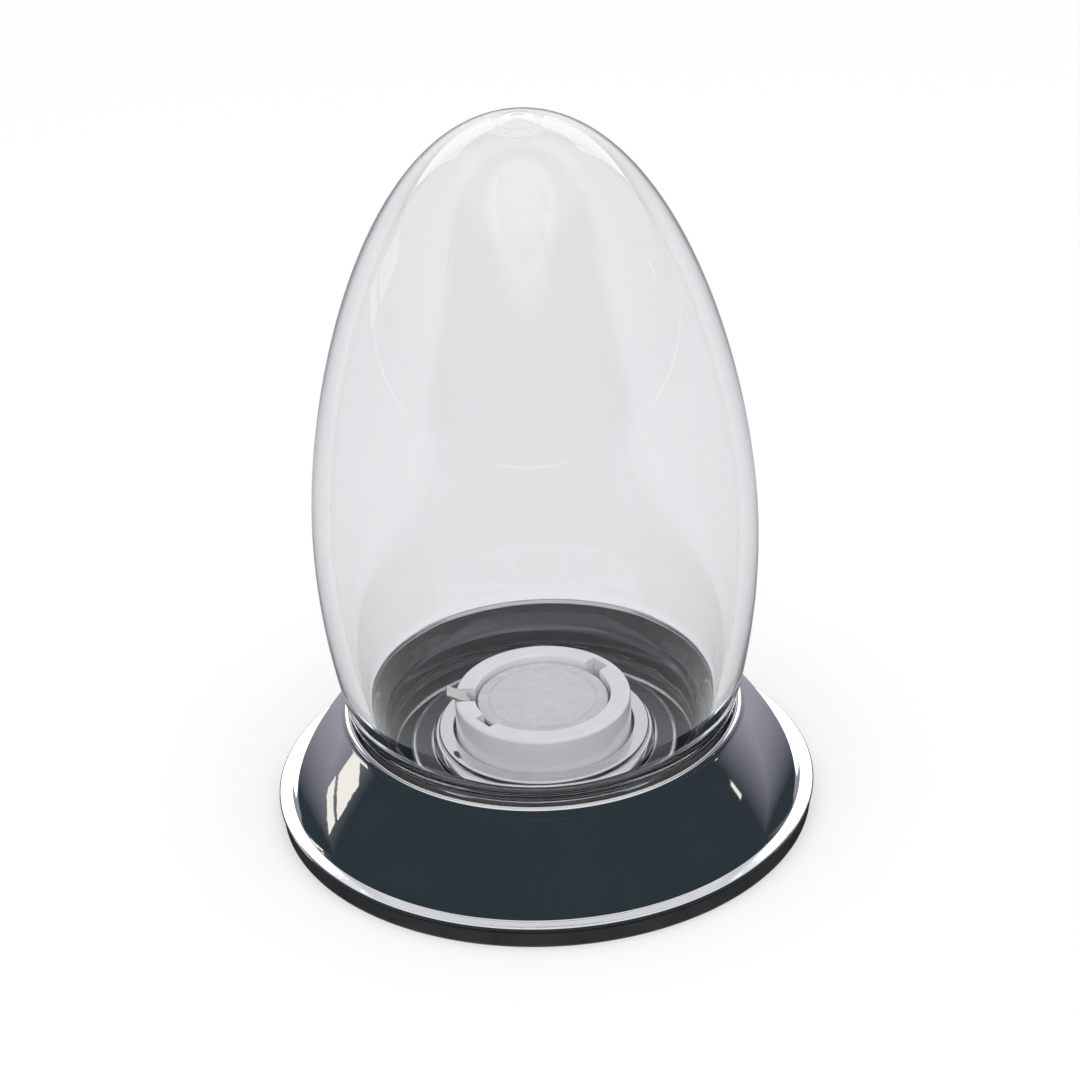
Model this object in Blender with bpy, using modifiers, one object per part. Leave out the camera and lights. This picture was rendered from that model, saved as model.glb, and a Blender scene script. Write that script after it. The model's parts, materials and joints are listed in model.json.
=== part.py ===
"""Surface-mount all-round navigation light with a screw-in clear globe.

A bell-shaped chromed base stands on a rubber gasket. A clear bullet-shaped globe screws into the
base's collar over an O-ring. Inside, a moulded bayonet holder carries a flat-topped LED lamp, which
is pushed down against a sprung contact and turned to lock.

Units are metres, +Z is up, and Z = 0 is the underside of the gasket, on the light's axis.
"""

import math

import bmesh
import bpy
from mathutils import Matrix, Vector

# ---------------------------------------------------------------------------- driving dimensions
GAP = 0.0003                # gap left between neighbouring pieces
LARGE_STEPS = 40            # facets round the base and the globe
MEDIUM_STEPS = 32           # facets round the holder
SMALL_STEPS = 20            # facets round the lamp and the plunger
TINY_STEPS = 12             # facets round screws and pins
CROWN_STEPS = 12            # facets down the globe's upper outline
SIDE_STEPS = 4              # facets down its lower outline
EDGE_STEPS = 3              # facets across a small rounding
MERGE = 0.00001             # merge distance of the turned shapes

FLANGE_R = 0.0300           # overall radius of the base, at its brim
GASKET_R = 0.0296
GASKET_HOLE_R = 0.0175
GASKET_T = 0.00185

BASE_Z = GASKET_T + GAP     # underside of the base
BRIM_R = 0.0003             # rounding of the brim's edge
WALL = 0.0018               # wall thickness of the base casting
SKIRT_TOP_R = 0.0223
SKIRT_TOP_Z = 0.0125
SKIRT_FOOT_R = 0.0284
SKIRT_FOOT_Z = 0.0029
SKIRT_BULGE = 0.00035       # how far the skirt stands proud of a straight cone
LIP_R = 0.0005              # rounding of the collar's lip
LIP_ARC = (180, 20)         # the lip's round stretch, in degrees
SEAL_SEAT_R = 0.0213        # counterbore that holds the O-ring
SEAL_SEAT_Z = 0.0113
BORE_R = 0.0194             # threaded bore of the collar
FLOOR_Z = 0.0052            # top of the cup's floor
FLOOR_T = 0.0012            # thickness of that floor
FLOOR_HOLE_R = 0.0103

BOSS_COUNT = 3              # tapped bosses that fasten the light from below
BOSS_CIRCLE_R = 0.0229
BOSS_R = 0.0026
BOSS_TOP_Z = 0.0062
TAP_R = 0.00165             # tapping hole of an M4 screw
TAP_DEPTH = 0.0034
SCREW_CLEARANCE_R = 0.0023  # hole for that screw in the gasket

GLOBE_R = 0.0245            # widest radius of the globe
GLOBE_WIDE_Z = 0.0360       # height at which it is widest
GLOBE_TOP_Z = 0.0858
GLOBE_FOOT_R = 0.0216       # radius just above the collar
GLOBE_FOOT_Z = 0.0139
GLOBE_WALL = 0.0020
GLOBE_INNER_FOOT_R = 0.0197
GLOBE_INNER_FOOT_Z = 0.0149     # where the inside starts to narrow to the neck
GLOBE_RISE = 0.0176         # upright handle of the upper outline's curve
GLOBE_SPREAD = 0.0169       # level handle of the upper outline's curve
PIP_R = 0.0015              # moulding pip on the crown
PIP_H = 0.0005
NECK_R = 0.0192
NECK_WALL = 0.0018
NECK_BOTTOM_Z = 0.0066
SHOULDER_R = 0.0210
SHOULDER_Z = 0.0130
EDGE = 0.0004               # small edge rounding of moulded pieces

THREAD_PITCH = 0.0030       # one rounded thread, right-handed
THREAD_R = 0.0005           # section radius of the globe's thread
THREAD_CENTRE_R = 0.0191
THREAD_START_Z = 0.0077
THREAD_TURNS = 1.1
THREAD_STEPS = 36           # points a turn
GROOVE_LEAD = 2             # steps by which the groove starts before the thread
GROOVE_TURNS = 1.7

SEAL_CENTRE_R = 0.0205
SEAL_R = 0.0005

DRUM_R = 0.01535            # raised drum under the lamp holder
DRUM_TOP_Z = 0.0088
DRUM_WALL = 0.0015

HOLDER_R = 0.0099           # moulded bayonet holder
HOLDER_BORE_R = 0.00765
HOLDER_TOP_Z = 0.0145
HOLDER_BOTTOM_Z = 0.0024
HOLDER_FLANGE_R = 0.0120
HOLDER_BASE_T = 0.0016

RING_R = 0.0126             # stepped ring nut that clamps the holder
RING_STEP_R = 0.0119
RING_TOP_Z = 0.0105
RING_STEP_Z = 0.0098

LAMP_R = 0.00735
LAMP_BOTTOM_Z = 0.0070
LAMP_SHELL_TOP_Z = 0.0129
LAMP_WALL = 0.0005
LENS_EDGE_Z = 0.0137
LENS_CROWN = 0.0004
LENS_LINE_R = 0.0059        # fine ring line moulded in the lens
LENS_LINE_W = 0.0004
LENS_LINE_DEPTH = 0.0002
CONTACT_R = 0.0018          # solder contact under the lamp
CONTACT_TIP_R = 0.0012
BOARD_Z = 0.0101            # underside of the LED board
BOARD_T = 0.0008
CHIP_COUNT = 3
CHIP = 0.0018               # side of an LED chip
CHIP_H = 0.0007
PIN_R = 0.0009
PIN_Z = 0.0089
PIN_INNER = 0.0063
PIN_OUTER = 0.00855
PIN_ANGLE = math.radians(15)    # where the locked pins sit, and the same opposite
TURN_ANGLE = math.radians(25)   # from locked to the insertion slot
PUSH = 0.0008                   # travel of the sprung contact

STRIP_W = 0.0020            # contact strip of the holder
STRIP_T = 0.0003
TAG_W = 0.0028              # blade for a push-on connector
TAG_REACH = 0.0160

PLUNGER_R = 0.0030
PLUNGER_STEM_R = 0.0012
PLUNGER_TOP_Z = 0.0054
PLUNGER_HEAD_T = 0.0008
SPRING_R = 0.0022
SPRING_WIRE_R = 0.0002
SPRING_TURNS = 2.5
SPRING_STEPS = 16           # points a turn
WELL_R = 0.0034
WELL_Z = 0.0012

BASE_SCREW_AT = 0.0097      # screws under the holder, from the axis
BASE_SCREW_R = 0.0008
BASE_SCREW_HEAD_R = 0.0017

# ------------------------------------------------------------------------------------ derived
BRIM_CENTRE = (FLANGE_R - BRIM_R, BASE_Z + BRIM_R)
CUP_OUTER_R = BORE_R + WALL
FLOOR_UNDER_Z = FLOOR_Z - FLOOR_T
HOLDER_BASE_TOP_Z = HOLDER_BOTTOM_Z - GAP
HOLDER_BASE_Z = HOLDER_BASE_TOP_Z - HOLDER_BASE_T
TAG_Z = WELL_Z + GAP
CONTACT_TOP_Z = PLUNGER_TOP_Z + GAP + STRIP_T + EDGE / 4

COLLECTION = "navigation_light"
TOOLS = "cutters"


# ------------------------------------------------------------------------------------- helpers
def clear_scene():
    for obj in list(bpy.data.objects):
        bpy.data.objects.remove(obj, do_unlink=True)


def collection(name):
    group = bpy.data.collections.new(name)
    bpy.context.scene.collection.children.link(group)
    return group


def material(name, colour, roughness, metallic=0.0, transmission=0.0):
    mat = bpy.data.materials.new(name)
    mat.use_nodes = True
    shader = mat.node_tree.nodes["Principled BSDF"]
    shader.inputs["Base Color"].default_value = (*colour, 1.0)
    shader.inputs["Roughness"].default_value = roughness
    shader.inputs["Metallic"].default_value = metallic
    shader.inputs["Transmission Weight"].default_value = transmission
    return mat


def move_to(obj, name):
    for group in list(obj.users_collection):
        group.objects.unlink(obj)
    bpy.data.collections[name].objects.link(obj)


def as_part(obj, name, mat):
    obj.name = name
    obj.data.name = name
    obj.data.materials.clear()
    obj.data.materials.append(mat)
    move_to(obj, COLLECTION)
    return obj


def as_tool(obj, name):
    obj.name = name
    obj.hide_render = True
    obj.display_type = "WIRE"
    move_to(obj, TOOLS)
    return obj


def arc(centre, radius, start, end, steps):
    """Points of a round stretch, with the angles in degrees from +X towards +Z."""
    points = []
    for i in range(steps + 1):
        angle = math.radians(start + (end - start) * i / steps)
        points.append((centre[0] + radius * math.cos(angle), centre[1] + radius * math.sin(angle)))
    return points


def bowed_line(start, end, bulge, steps):
    """Points from start to end along a shallow parabola that stands bulge proud of the chord."""
    along = Vector(end) - Vector(start)
    outward = Vector((-along.y, along.x)).normalized()
    points = []
    for i in range(steps + 1):
        t = i / steps
        point = Vector(start) + along * t + outward * (4 * bulge * t * (1 - t))
        points.append((point.x, point.y))
    return points


def bezier(p0, p1, p2, p3, steps):
    points = []
    for i in range(steps + 1):
        t = i / steps
        weights = ((1 - t) ** 3, 3 * (1 - t) ** 2 * t, 3 * (1 - t) * t * t, t ** 3)
        radius = sum(w * p[0] for w, p in zip(weights, (p0, p1, p2, p3)))
        height = sum(w * p[1] for w, p in zip(weights, (p0, p1, p2, p3)))
        points.append((radius, height))
    return points


def dome(top, rise, radius, steps):
    """Points of a shallow round cap, from its summit on the axis down to its rim."""
    ball_r = (radius * radius + rise * rise) / (2 * rise)
    reach = math.degrees(math.asin(radius / ball_r))
    return arc((0.0, top - ball_r), ball_r, 90, 90 - reach, steps)


def turned(name, profile, steps, closed):
    """Turn a profile of (radius, height) points, which runs down its outer side, about Z."""
    mesh = bpy.data.meshes.new(name)
    verts = [(radius, 0.0, height) for radius, height in profile]
    edges = [(i, i + 1) for i in range(len(verts) - 1)]
    if closed:
        edges.append((len(verts) - 1, 0))
    mesh.from_pydata(verts, edges, [])
    obj = bpy.data.objects.new(name, mesh)
    bpy.context.scene.collection.objects.link(obj)
    screw = obj.modifiers.new("Turn", "SCREW")
    screw.steps = steps
    screw.render_steps = steps
    screw.use_merge_vertices = True
    screw.merge_threshold = MERGE
    screw.use_smooth_shade = True
    return obj


def round_bar(name, radius, bottom, top, steps, at=(0.0, 0.0)):
    bpy.ops.mesh.primitive_cylinder_add(
        vertices=steps, radius=radius, depth=top - bottom,
        location=(at[0], at[1], (top + bottom) / 2))
    obj = bpy.context.object
    obj.name = name
    return obj


def box(name, low, high, turn=0.0):
    """A box between two corners, then turned about the Z axis."""
    bpy.ops.mesh.primitive_cube_add(size=1.0)
    obj = bpy.context.object
    obj.name = name
    size = Vector(high) - Vector(low)
    centre = (Vector(high) + Vector(low)) / 2
    obj.data.transform(Matrix.Rotation(turn, 4, "Z") @ Matrix.Translation(centre)
                       @ Matrix.Diagonal((*size, 1.0)))
    return obj


def mesh_from_curve(curve_obj):
    """Replace a curve object by a mesh one with welded caps."""
    depsgraph = bpy.context.evaluated_depsgraph_get()
    mesh = bpy.data.meshes.new_from_object(curve_obj.evaluated_get(depsgraph))
    bm = bmesh.new()
    bm.from_mesh(mesh)
    bmesh.ops.remove_doubles(bm, verts=bm.verts, dist=MERGE)
    bmesh.ops.recalc_face_normals(bm, faces=bm.faces)
    bm.to_mesh(mesh)
    bm.free()
    mesh.shade_smooth()
    mesh.set_sharp_from_angle(angle=math.radians(40))
    obj = bpy.data.objects.new(curve_obj.name, mesh)
    obj.matrix_world = curve_obj.matrix_world
    bpy.context.scene.collection.objects.link(obj)
    bpy.data.objects.remove(curve_obj, do_unlink=True)
    return obj


def wire(name, points, radius):
    """A round wire along a list of points, as a mesh."""
    curve = bpy.data.curves.new(name, "CURVE")
    curve.dimensions = "3D"
    curve.bevel_depth = radius
    curve.bevel_resolution = 2
    curve.use_fill_caps = True
    spline = curve.splines.new("POLY")
    spline.points.add(len(points) - 1)
    for point, place in zip(spline.points, points):
        point.co = (*place, 1.0)
    obj = bpy.data.objects.new(name, curve)
    bpy.context.scene.collection.objects.link(obj)
    bpy.context.view_layer.update()
    return mesh_from_curve(obj)


def plate(name, outlines, bottom, top):
    """A flat plate from closed outlines of (x, y) points; the outlines after the first are holes."""
    curve = bpy.data.curves.new(name, "CURVE")
    curve.dimensions = "2D"
    curve.fill_mode = "BOTH"
    curve.extrude = (top - bottom) / 2
    for outline in outlines:
        spline = curve.splines.new("POLY")
        spline.points.add(len(outline) - 1)
        for point, place in zip(spline.points, outline):
            point.co = (*place, 0.0, 1.0)
        spline.use_cyclic_u = True
    obj = bpy.data.objects.new(name, curve)
    obj.location = (0.0, 0.0, (top + bottom) / 2)
    bpy.context.scene.collection.objects.link(obj)
    bpy.context.view_layer.update()
    return mesh_from_curve(obj)


def helix(radius, bottom, pitch, first, last, steps):
    """Points of a right-handed helix at whole steps, counted from angle 0 at the bottom height."""
    points = []
    for i in range(first, last + 1):
        angle = i * 2 * math.pi / steps
        height = bottom + pitch * i / steps
        points.append((radius * math.cos(angle), radius * math.sin(angle), height))
    return points


def combine(obj, tool, operation):
    mod = obj.modifiers.new(tool.name, "BOOLEAN")
    mod.operation = operation
    mod.solver = "EXACT"
    mod.object = tool


def cut(obj, tool):
    combine(obj, as_tool(tool, tool.name), "DIFFERENCE")


def join(obj, tool):
    combine(obj, as_tool(tool, tool.name), "UNION")


def on_circle(radius, angle):
    return (radius * math.cos(angle), radius * math.sin(angle))


def boss_places():
    return [on_circle(BOSS_CIRCLE_R, math.radians(90) + 2 * math.pi * i / BOSS_COUNT)
            for i in range(BOSS_COUNT)]


# ---------------------------------------------------------------------------- base and gasket
def make_gasket(mat):
    edge = EDGE / 2
    profile = [
        (GASKET_R - edge, GASKET_T),
        (GASKET_R, GASKET_T - edge),
        (GASKET_R, edge),
        (GASKET_R - edge, 0.0),
        (GASKET_HOLE_R, 0.0),
        (GASKET_HOLE_R, GASKET_T),
    ]
    gasket = as_part(turned("base_gasket", profile, LARGE_STEPS, closed=True), "base_gasket", mat)
    for i, place in enumerate(boss_places(), start=1):
        cut(gasket, round_bar(f"gasket_hole_{i}", SCREW_CLEARANCE_R, -GASKET_T, 2 * GASKET_T,
                              TINY_STEPS, place))
    return gasket


def housing_profile():
    inner_foot_r = SKIRT_FOOT_R - WALL
    crown_r = CUP_OUTER_R + GAP
    crown_z = SEAL_SEAT_Z - WALL - GAP * 2
    fillet = WALL / 2
    lip_centre = (SKIRT_TOP_R - LIP_R, SKIRT_TOP_Z + EDGE / 4)
    outside = arc(lip_centre, LIP_R, *LIP_ARC, SIDE_STEPS)
    outside += bowed_line((SKIRT_TOP_R, SKIRT_TOP_Z), (SKIRT_FOOT_R, SKIRT_FOOT_Z), SKIRT_BULGE,
                          SIDE_STEPS + 1)
    outside.append((SKIRT_FOOT_R + EDGE / 2, BASE_Z + 2 * BRIM_R))
    outside += arc(BRIM_CENTRE, BRIM_R, 90, -90, 2 * EDGE_STEPS)
    underside = [
        (inner_foot_r, BASE_Z),
        (inner_foot_r, SKIRT_FOOT_Z),
        (crown_r + WALL / 2, crown_z),
        (crown_r, crown_z),
        (CUP_OUTER_R, crown_z - fillet),
        (CUP_OUTER_R, FLOOR_UNDER_Z + fillet),
        (CUP_OUTER_R - fillet, FLOOR_UNDER_Z),
        (FLOOR_HOLE_R, FLOOR_UNDER_Z),
    ]
    inside = [
        (FLOOR_HOLE_R, FLOOR_Z),
        (BORE_R - fillet, FLOOR_Z),
        (BORE_R, FLOOR_Z + fillet),
        (BORE_R, SEAL_SEAT_Z),
        (SEAL_SEAT_R, SEAL_SEAT_Z),
    ]
    return outside + underside + inside


def make_housing(mat):
    housing = turned("base_housing", housing_profile(), LARGE_STEPS, closed=True)
    as_part(housing, "base_housing", mat)
    for i, place in enumerate(boss_places(), start=1):
        join(housing, round_bar(f"boss_{i}", BOSS_R, BASE_Z, BOSS_TOP_Z, TINY_STEPS, place))
    for i, place in enumerate(boss_places(), start=1):
        cut(housing, round_bar(f"tapped_hole_{i}", TAP_R, BASE_Z - TAP_DEPTH, BASE_Z + TAP_DEPTH,
                               TINY_STEPS, place))
    groove = helix(THREAD_CENTRE_R, THREAD_START_Z, THREAD_PITCH, -GROOVE_LEAD,
                   round(GROOVE_TURNS * THREAD_STEPS), THREAD_STEPS)
    cut(housing, wire("thread_groove", groove, THREAD_R + GAP))
    return housing


# ------------------------------------------------------------------------------ globe and seal
def globe_side(radius, foot_radius, foot_z, steps):
    """The round stretch from the widest level down to the foot, top to bottom."""
    drop = GLOBE_WIDE_Z - foot_z
    inset = radius - foot_radius
    bend = (drop * drop + inset * inset) / (2 * inset)
    half_angle = math.degrees(math.asin(drop / bend))
    return arc((radius - bend, GLOBE_WIDE_Z), bend, 0, -half_angle, steps)


def globe_profile():
    wide = GLOBE_R - GLOBE_WALL
    top = GLOBE_TOP_Z - GLOBE_WALL
    neck_inner = NECK_R - NECK_WALL
    pip = dome(GLOBE_TOP_Z + PIP_H, PIP_H, PIP_R, EDGE_STEPS)
    crown = bezier((0.0, GLOBE_TOP_Z), (GLOBE_SPREAD, GLOBE_TOP_Z),
                   (GLOBE_R, GLOBE_WIDE_Z + GLOBE_RISE), (GLOBE_R, GLOBE_WIDE_Z), CROWN_STEPS)
    outside = pip + crown[1:] + globe_side(GLOBE_R, GLOBE_FOOT_R, GLOBE_FOOT_Z, SIDE_STEPS)[1:]
    foot = [
        (SHOULDER_R, SHOULDER_Z + EDGE),
        (SHOULDER_R - EDGE, SHOULDER_Z),
        (NECK_R, SHOULDER_Z),
        (NECK_R, NECK_BOTTOM_Z + EDGE),
        (NECK_R - EDGE, NECK_BOTTOM_Z),
        (neck_inner + EDGE, NECK_BOTTOM_Z),
        (neck_inner, NECK_BOTTOM_Z + EDGE),
        (neck_inner, SHOULDER_Z),
    ]
    inner_side = globe_side(wide, GLOBE_INNER_FOOT_R, GLOBE_INNER_FOOT_Z, SIDE_STEPS)
    inner_crown = bezier((wide, GLOBE_WIDE_Z), (wide, GLOBE_WIDE_Z + GLOBE_RISE * wide / GLOBE_R),
                         (GLOBE_SPREAD * wide / GLOBE_R, top), (0.0, top), CROWN_STEPS - 2)
    return outside + foot + inner_side[::-1] + inner_crown[1:]


def make_globe(mat):
    globe = as_part(turned("globe", globe_profile(), LARGE_STEPS, closed=False), "globe", mat)
    thread = helix(THREAD_CENTRE_R, THREAD_START_Z, THREAD_PITCH, 0,
                   round(THREAD_TURNS * THREAD_STEPS), THREAD_STEPS)
    join(globe, wire("globe_thread", thread, THREAD_R))
    return globe


def make_seal(mat):
    bpy.ops.mesh.primitive_torus_add(
        major_radius=SEAL_CENTRE_R, minor_radius=SEAL_R, major_segments=LARGE_STEPS,
        minor_segments=TINY_STEPS - 4, location=(0.0, 0.0, SEAL_SEAT_Z + GAP + SEAL_R))
    seal = as_part(bpy.context.object, "globe_seal", mat)
    seal.data.shade_smooth()
    return seal


# -------------------------------------------------------------------------------- lamp holder
def make_drum(mat):
    bottom = FLOOR_Z + GAP
    profile = [(FLOOR_HOLE_R, DRUM_TOP_Z)]
    profile += arc((DRUM_R - EDGE, DRUM_TOP_Z - EDGE), EDGE, 90, 0, EDGE_STEPS)
    profile += [
        (DRUM_R, bottom),
        (DRUM_R - DRUM_WALL, bottom),
        (DRUM_R - DRUM_WALL, DRUM_TOP_Z - DRUM_WALL),
        (FLOOR_HOLE_R, DRUM_TOP_Z - DRUM_WALL),
    ]
    return as_part(turned("lamp_drum", profile, MEDIUM_STEPS, closed=True), "lamp_drum", mat)


def make_ring(mat):
    bottom = DRUM_TOP_Z + GAP
    inner = HOLDER_R + GAP
    edge = EDGE / 2
    profile = [
        (inner, RING_TOP_Z),
        (RING_STEP_R - edge * 2, RING_TOP_Z),
        (RING_STEP_R, RING_TOP_Z - edge),
        (RING_STEP_R, RING_STEP_Z),
        (RING_STEP_R + edge, RING_STEP_Z),
        (RING_R - edge, bottom + edge * 2),
        (RING_R, bottom + edge),
        (RING_R, bottom),
        (inner, bottom),
    ]
    return as_part(turned("holder_ring", profile, MEDIUM_STEPS, closed=True), "holder_ring", mat)


def slot_cutters(index, angle):
    """The two legs of one bayonet slot: down from the rim, then round to the locked place."""
    width = 2 * (PIN_R + GAP)
    low = PIN_Z - PUSH - PIN_R - GAP
    high = PIN_Z + PIN_R + GAP
    inner = HOLDER_BORE_R - GAP
    outer = PIN_OUTER + GAP
    mouth = box(f"slot_mouth_{index}", (inner, -width / 2, low),
                (outer, width / 2, HOLDER_TOP_Z + GAP), angle + TURN_ANGLE)
    spare = math.degrees(math.asin((PIN_R + GAP) / HOLDER_BORE_R))
    first = math.degrees(angle) - spare
    last = math.degrees(angle + TURN_ANGLE) + spare
    outline = arc((0.0, 0.0), outer, first, last, 2 * SIDE_STEPS)
    outline += arc((0.0, 0.0), inner, last, first, 2 * SIDE_STEPS)
    return mouth, plate(f"slot_leg_{index}", [outline], low, high)


def make_holder(mat):
    edge = EDGE * 3 / 4
    profile = [(HOLDER_BORE_R + edge, HOLDER_TOP_Z)]
    profile += arc((HOLDER_R - EDGE, HOLDER_TOP_Z - EDGE), EDGE, 90, 0, EDGE_STEPS)
    flange_top = FLOOR_UNDER_Z - GAP
    profile += [
        (HOLDER_R, flange_top),
        (HOLDER_FLANGE_R, flange_top),
        (HOLDER_FLANGE_R, HOLDER_BOTTOM_Z),
        (HOLDER_BORE_R, HOLDER_BOTTOM_Z),
        (HOLDER_BORE_R, HOLDER_TOP_Z - edge),
    ]
    holder = as_part(turned("holder_body", profile, MEDIUM_STEPS, closed=True), "holder_body", mat)
    for index, angle in enumerate((PIN_ANGLE, PIN_ANGLE + math.pi), start=1):
        for tool in slot_cutters(index, angle):
            cut(holder, tool)
    half = STRIP_W / 2 + GAP
    channel_outer = HOLDER_BORE_R + STRIP_T * 3 / 2 + 2 * GAP
    cut(holder, box("strip_channel", (-channel_outer, -half, HOLDER_BOTTOM_Z - GAP),
                    (-HOLDER_BORE_R + GAP, half, HOLDER_TOP_Z + GAP)))
    cut(holder, box("strip_notch", (-HOLDER_R - GAP, -half, HOLDER_TOP_Z - 2 * EDGE),
                    (-HOLDER_BORE_R + GAP, half, HOLDER_TOP_Z + GAP)))
    for i, side in enumerate((1, -1), start=1):
        cut(holder, round_bar(f"holder_screw_hole_{i}", BASE_SCREW_R + GAP, HOLDER_BOTTOM_Z - GAP,
                              flange_top - GAP, TINY_STEPS, (0.0, side * BASE_SCREW_AT)))
    return holder


def make_holder_base(mat):
    profile = [
        (HOLDER_FLANGE_R - EDGE, HOLDER_BASE_TOP_Z),
        (HOLDER_FLANGE_R, HOLDER_BASE_TOP_Z - EDGE),
        (HOLDER_FLANGE_R, HOLDER_BASE_Z),
        (PLUNGER_STEM_R + GAP, HOLDER_BASE_Z),
        (PLUNGER_STEM_R + GAP, WELL_Z),
        (WELL_R, WELL_Z),
        (WELL_R, HOLDER_BASE_TOP_Z),
    ]
    base = as_part(turned("holder_base", profile, MEDIUM_STEPS, closed=True), "holder_base", mat)
    half = TAG_W / 2 + GAP
    beyond = HOLDER_FLANGE_R + GAP
    groove_z = TAG_Z - GAP / 2
    cut(base, box("live_groove", (WELL_R / 2, -half, groove_z), (beyond, half, HOLDER_BOTTOM_Z)))
    cut(base, box("return_groove", (-beyond, -half, groove_z), (-WELL_R * 2, half, HOLDER_BOTTOM_Z)))
    for i, side in enumerate((1, -1), start=1):
        place = (0.0, side * BASE_SCREW_AT)
        cut(base, round_bar(f"base_screw_hole_{i}", BASE_SCREW_R + GAP, HOLDER_BASE_Z - GAP,
                            HOLDER_BOTTOM_Z, TINY_STEPS, place))
        cut(base, round_bar(f"base_screw_recess_{i}", BASE_SCREW_HEAD_R + GAP, HOLDER_BASE_Z - GAP,
                            WELL_Z + GAP, TINY_STEPS, place))
    return base


def make_base_screws(mat):
    """Two slotted pan-head screws that close the holder from below."""
    head_bottom = HOLDER_BASE_Z + EDGE / 4
    head_top = WELL_Z
    tip = FLOOR_UNDER_Z - 3 * GAP
    profile = [
        (0.0, tip),
        (BASE_SCREW_R - EDGE / 2, tip),
        (BASE_SCREW_R, tip - EDGE / 2),
        (BASE_SCREW_R, head_top),
        (BASE_SCREW_HEAD_R, head_top),
        (BASE_SCREW_HEAD_R, head_bottom + EDGE / 2),
        (BASE_SCREW_HEAD_R - EDGE / 2, head_bottom),
        (0.0, head_bottom),
    ]
    for i, side in enumerate((1, -1), start=1):
        name = f"base_screw_{i}"
        screw = as_part(turned(name, profile, TINY_STEPS, closed=False), name, mat)
        screw.location = (0.0, side * BASE_SCREW_AT, 0.0)
        slot = box(f"screw_slot_{i}", (-BASE_SCREW_HEAD_R * 2, -EDGE / 2, HOLDER_BASE_Z - GAP),
                   (BASE_SCREW_HEAD_R * 2, EDGE / 2, head_bottom + EDGE / 2))
        slot.location = screw.location
        cut(screw, slot)


def make_live_tag(mat):
    """A washer under the contact spring with a blade for the live wire."""
    ring_r = WELL_R - GAP
    half = TAG_W / 2
    corner = math.degrees(math.asin(half / ring_r))
    outline = arc((0.0, 0.0), ring_r, corner, 360 - corner, TINY_STEPS)
    outline += [(TAG_REACH - EDGE, -half), (TAG_REACH, -half + EDGE),
                (TAG_REACH, half - EDGE), (TAG_REACH - EDGE, half)]
    hole = arc((0.0, 0.0), PLUNGER_STEM_R + 2 * GAP, 0, 360, TINY_STEPS)[:-1]
    tag = plate("live_tag", [outline, hole], TAG_Z, TAG_Z + STRIP_T)
    return as_part(tag, "live_tag", mat)


def make_return_strip(mat):
    """The side contact: a flared tip over the rim, a leg down the bore, and a blade below."""
    leg = HOLDER_BORE_R + GAP + STRIP_T
    tip_r = HOLDER_R + 3 * GAP
    path = [
        (tip_r, HOLDER_TOP_Z + 2 * GAP),
        (HOLDER_R - EDGE, HOLDER_TOP_Z),
        (leg + EDGE, HOLDER_TOP_Z - EDGE * 3 / 4),
        (leg, HOLDER_TOP_Z - EDGE * 2),
        (leg, TAG_Z + 2 * EDGE),
        (leg + EDGE, TAG_Z + STRIP_T),
        (TAG_REACH, TAG_Z + STRIP_T),
    ]
    half = STRIP_W / 2
    mesh = bpy.data.meshes.new("return_strip")
    verts = [(-radius, side * half, height) for side in (-1, 1) for radius, height in path]
    count = len(path)
    faces = [(i, i + 1, count + i + 1, count + i) for i in range(count - 1)]
    mesh.from_pydata(verts, [], faces)
    strip = bpy.data.objects.new("return_strip", mesh)
    bpy.context.scene.collection.objects.link(strip)
    thickness = strip.modifiers.new("Thickness", "SOLIDIFY")
    thickness.thickness = STRIP_T
    thickness.offset = 0.0
    return as_part(strip, "return_strip", mat)


def make_plunger(mat):
    head_bottom = PLUNGER_TOP_Z - PLUNGER_HEAD_T
    stem_end = WELL_Z - EDGE / 2
    profile = [
        (0.0, PLUNGER_TOP_Z),
        (PLUNGER_R - EDGE, PLUNGER_TOP_Z),
        (PLUNGER_R, PLUNGER_TOP_Z - EDGE),
        (PLUNGER_R, head_bottom),
        (PLUNGER_STEM_R, head_bottom),
        (PLUNGER_STEM_R, stem_end),
        (0.0, stem_end),
    ]
    plunger = turned("contact_plunger", profile, SMALL_STEPS, closed=False)
    return as_part(plunger, "contact_plunger", mat)


def make_spring(mat):
    low = TAG_Z + STRIP_T + GAP + SPRING_WIRE_R
    high = PLUNGER_TOP_Z - PLUNGER_HEAD_T - GAP - SPRING_WIRE_R
    coils = helix(SPRING_R, low, (high - low) / SPRING_TURNS, 0,
                  round(SPRING_TURNS * SPRING_STEPS), SPRING_STEPS)
    return as_part(wire("contact_spring", coils, SPRING_WIRE_R), "contact_spring", mat)


# ---------------------------------------------------------------------------------------- lamp
def make_lamp_shell(mat):
    bottom_t = LAMP_WALL + EDGE / 4
    hole = LAMP_R / 2 + GAP
    profile = [
        (LAMP_R - LAMP_WALL, LAMP_SHELL_TOP_Z),
        (LAMP_R, LAMP_SHELL_TOP_Z),
        (LAMP_R, LAMP_BOTTOM_Z + EDGE),
        (LAMP_R - EDGE, LAMP_BOTTOM_Z),
        (hole, LAMP_BOTTOM_Z),
        (hole, LAMP_BOTTOM_Z + bottom_t),
        (LAMP_R - LAMP_WALL, LAMP_BOTTOM_Z + bottom_t),
    ]
    shell = as_part(turned("lamp_shell", profile, MEDIUM_STEPS, closed=True), "lamp_shell", mat)
    for i, angle in enumerate((PIN_ANGLE, PIN_ANGLE + math.pi), start=1):
        cut(shell, cross_bar(f"pin_hole_{i}", PIN_R + GAP, PIN_INNER - GAP, PIN_OUTER, angle))
    return shell


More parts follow.
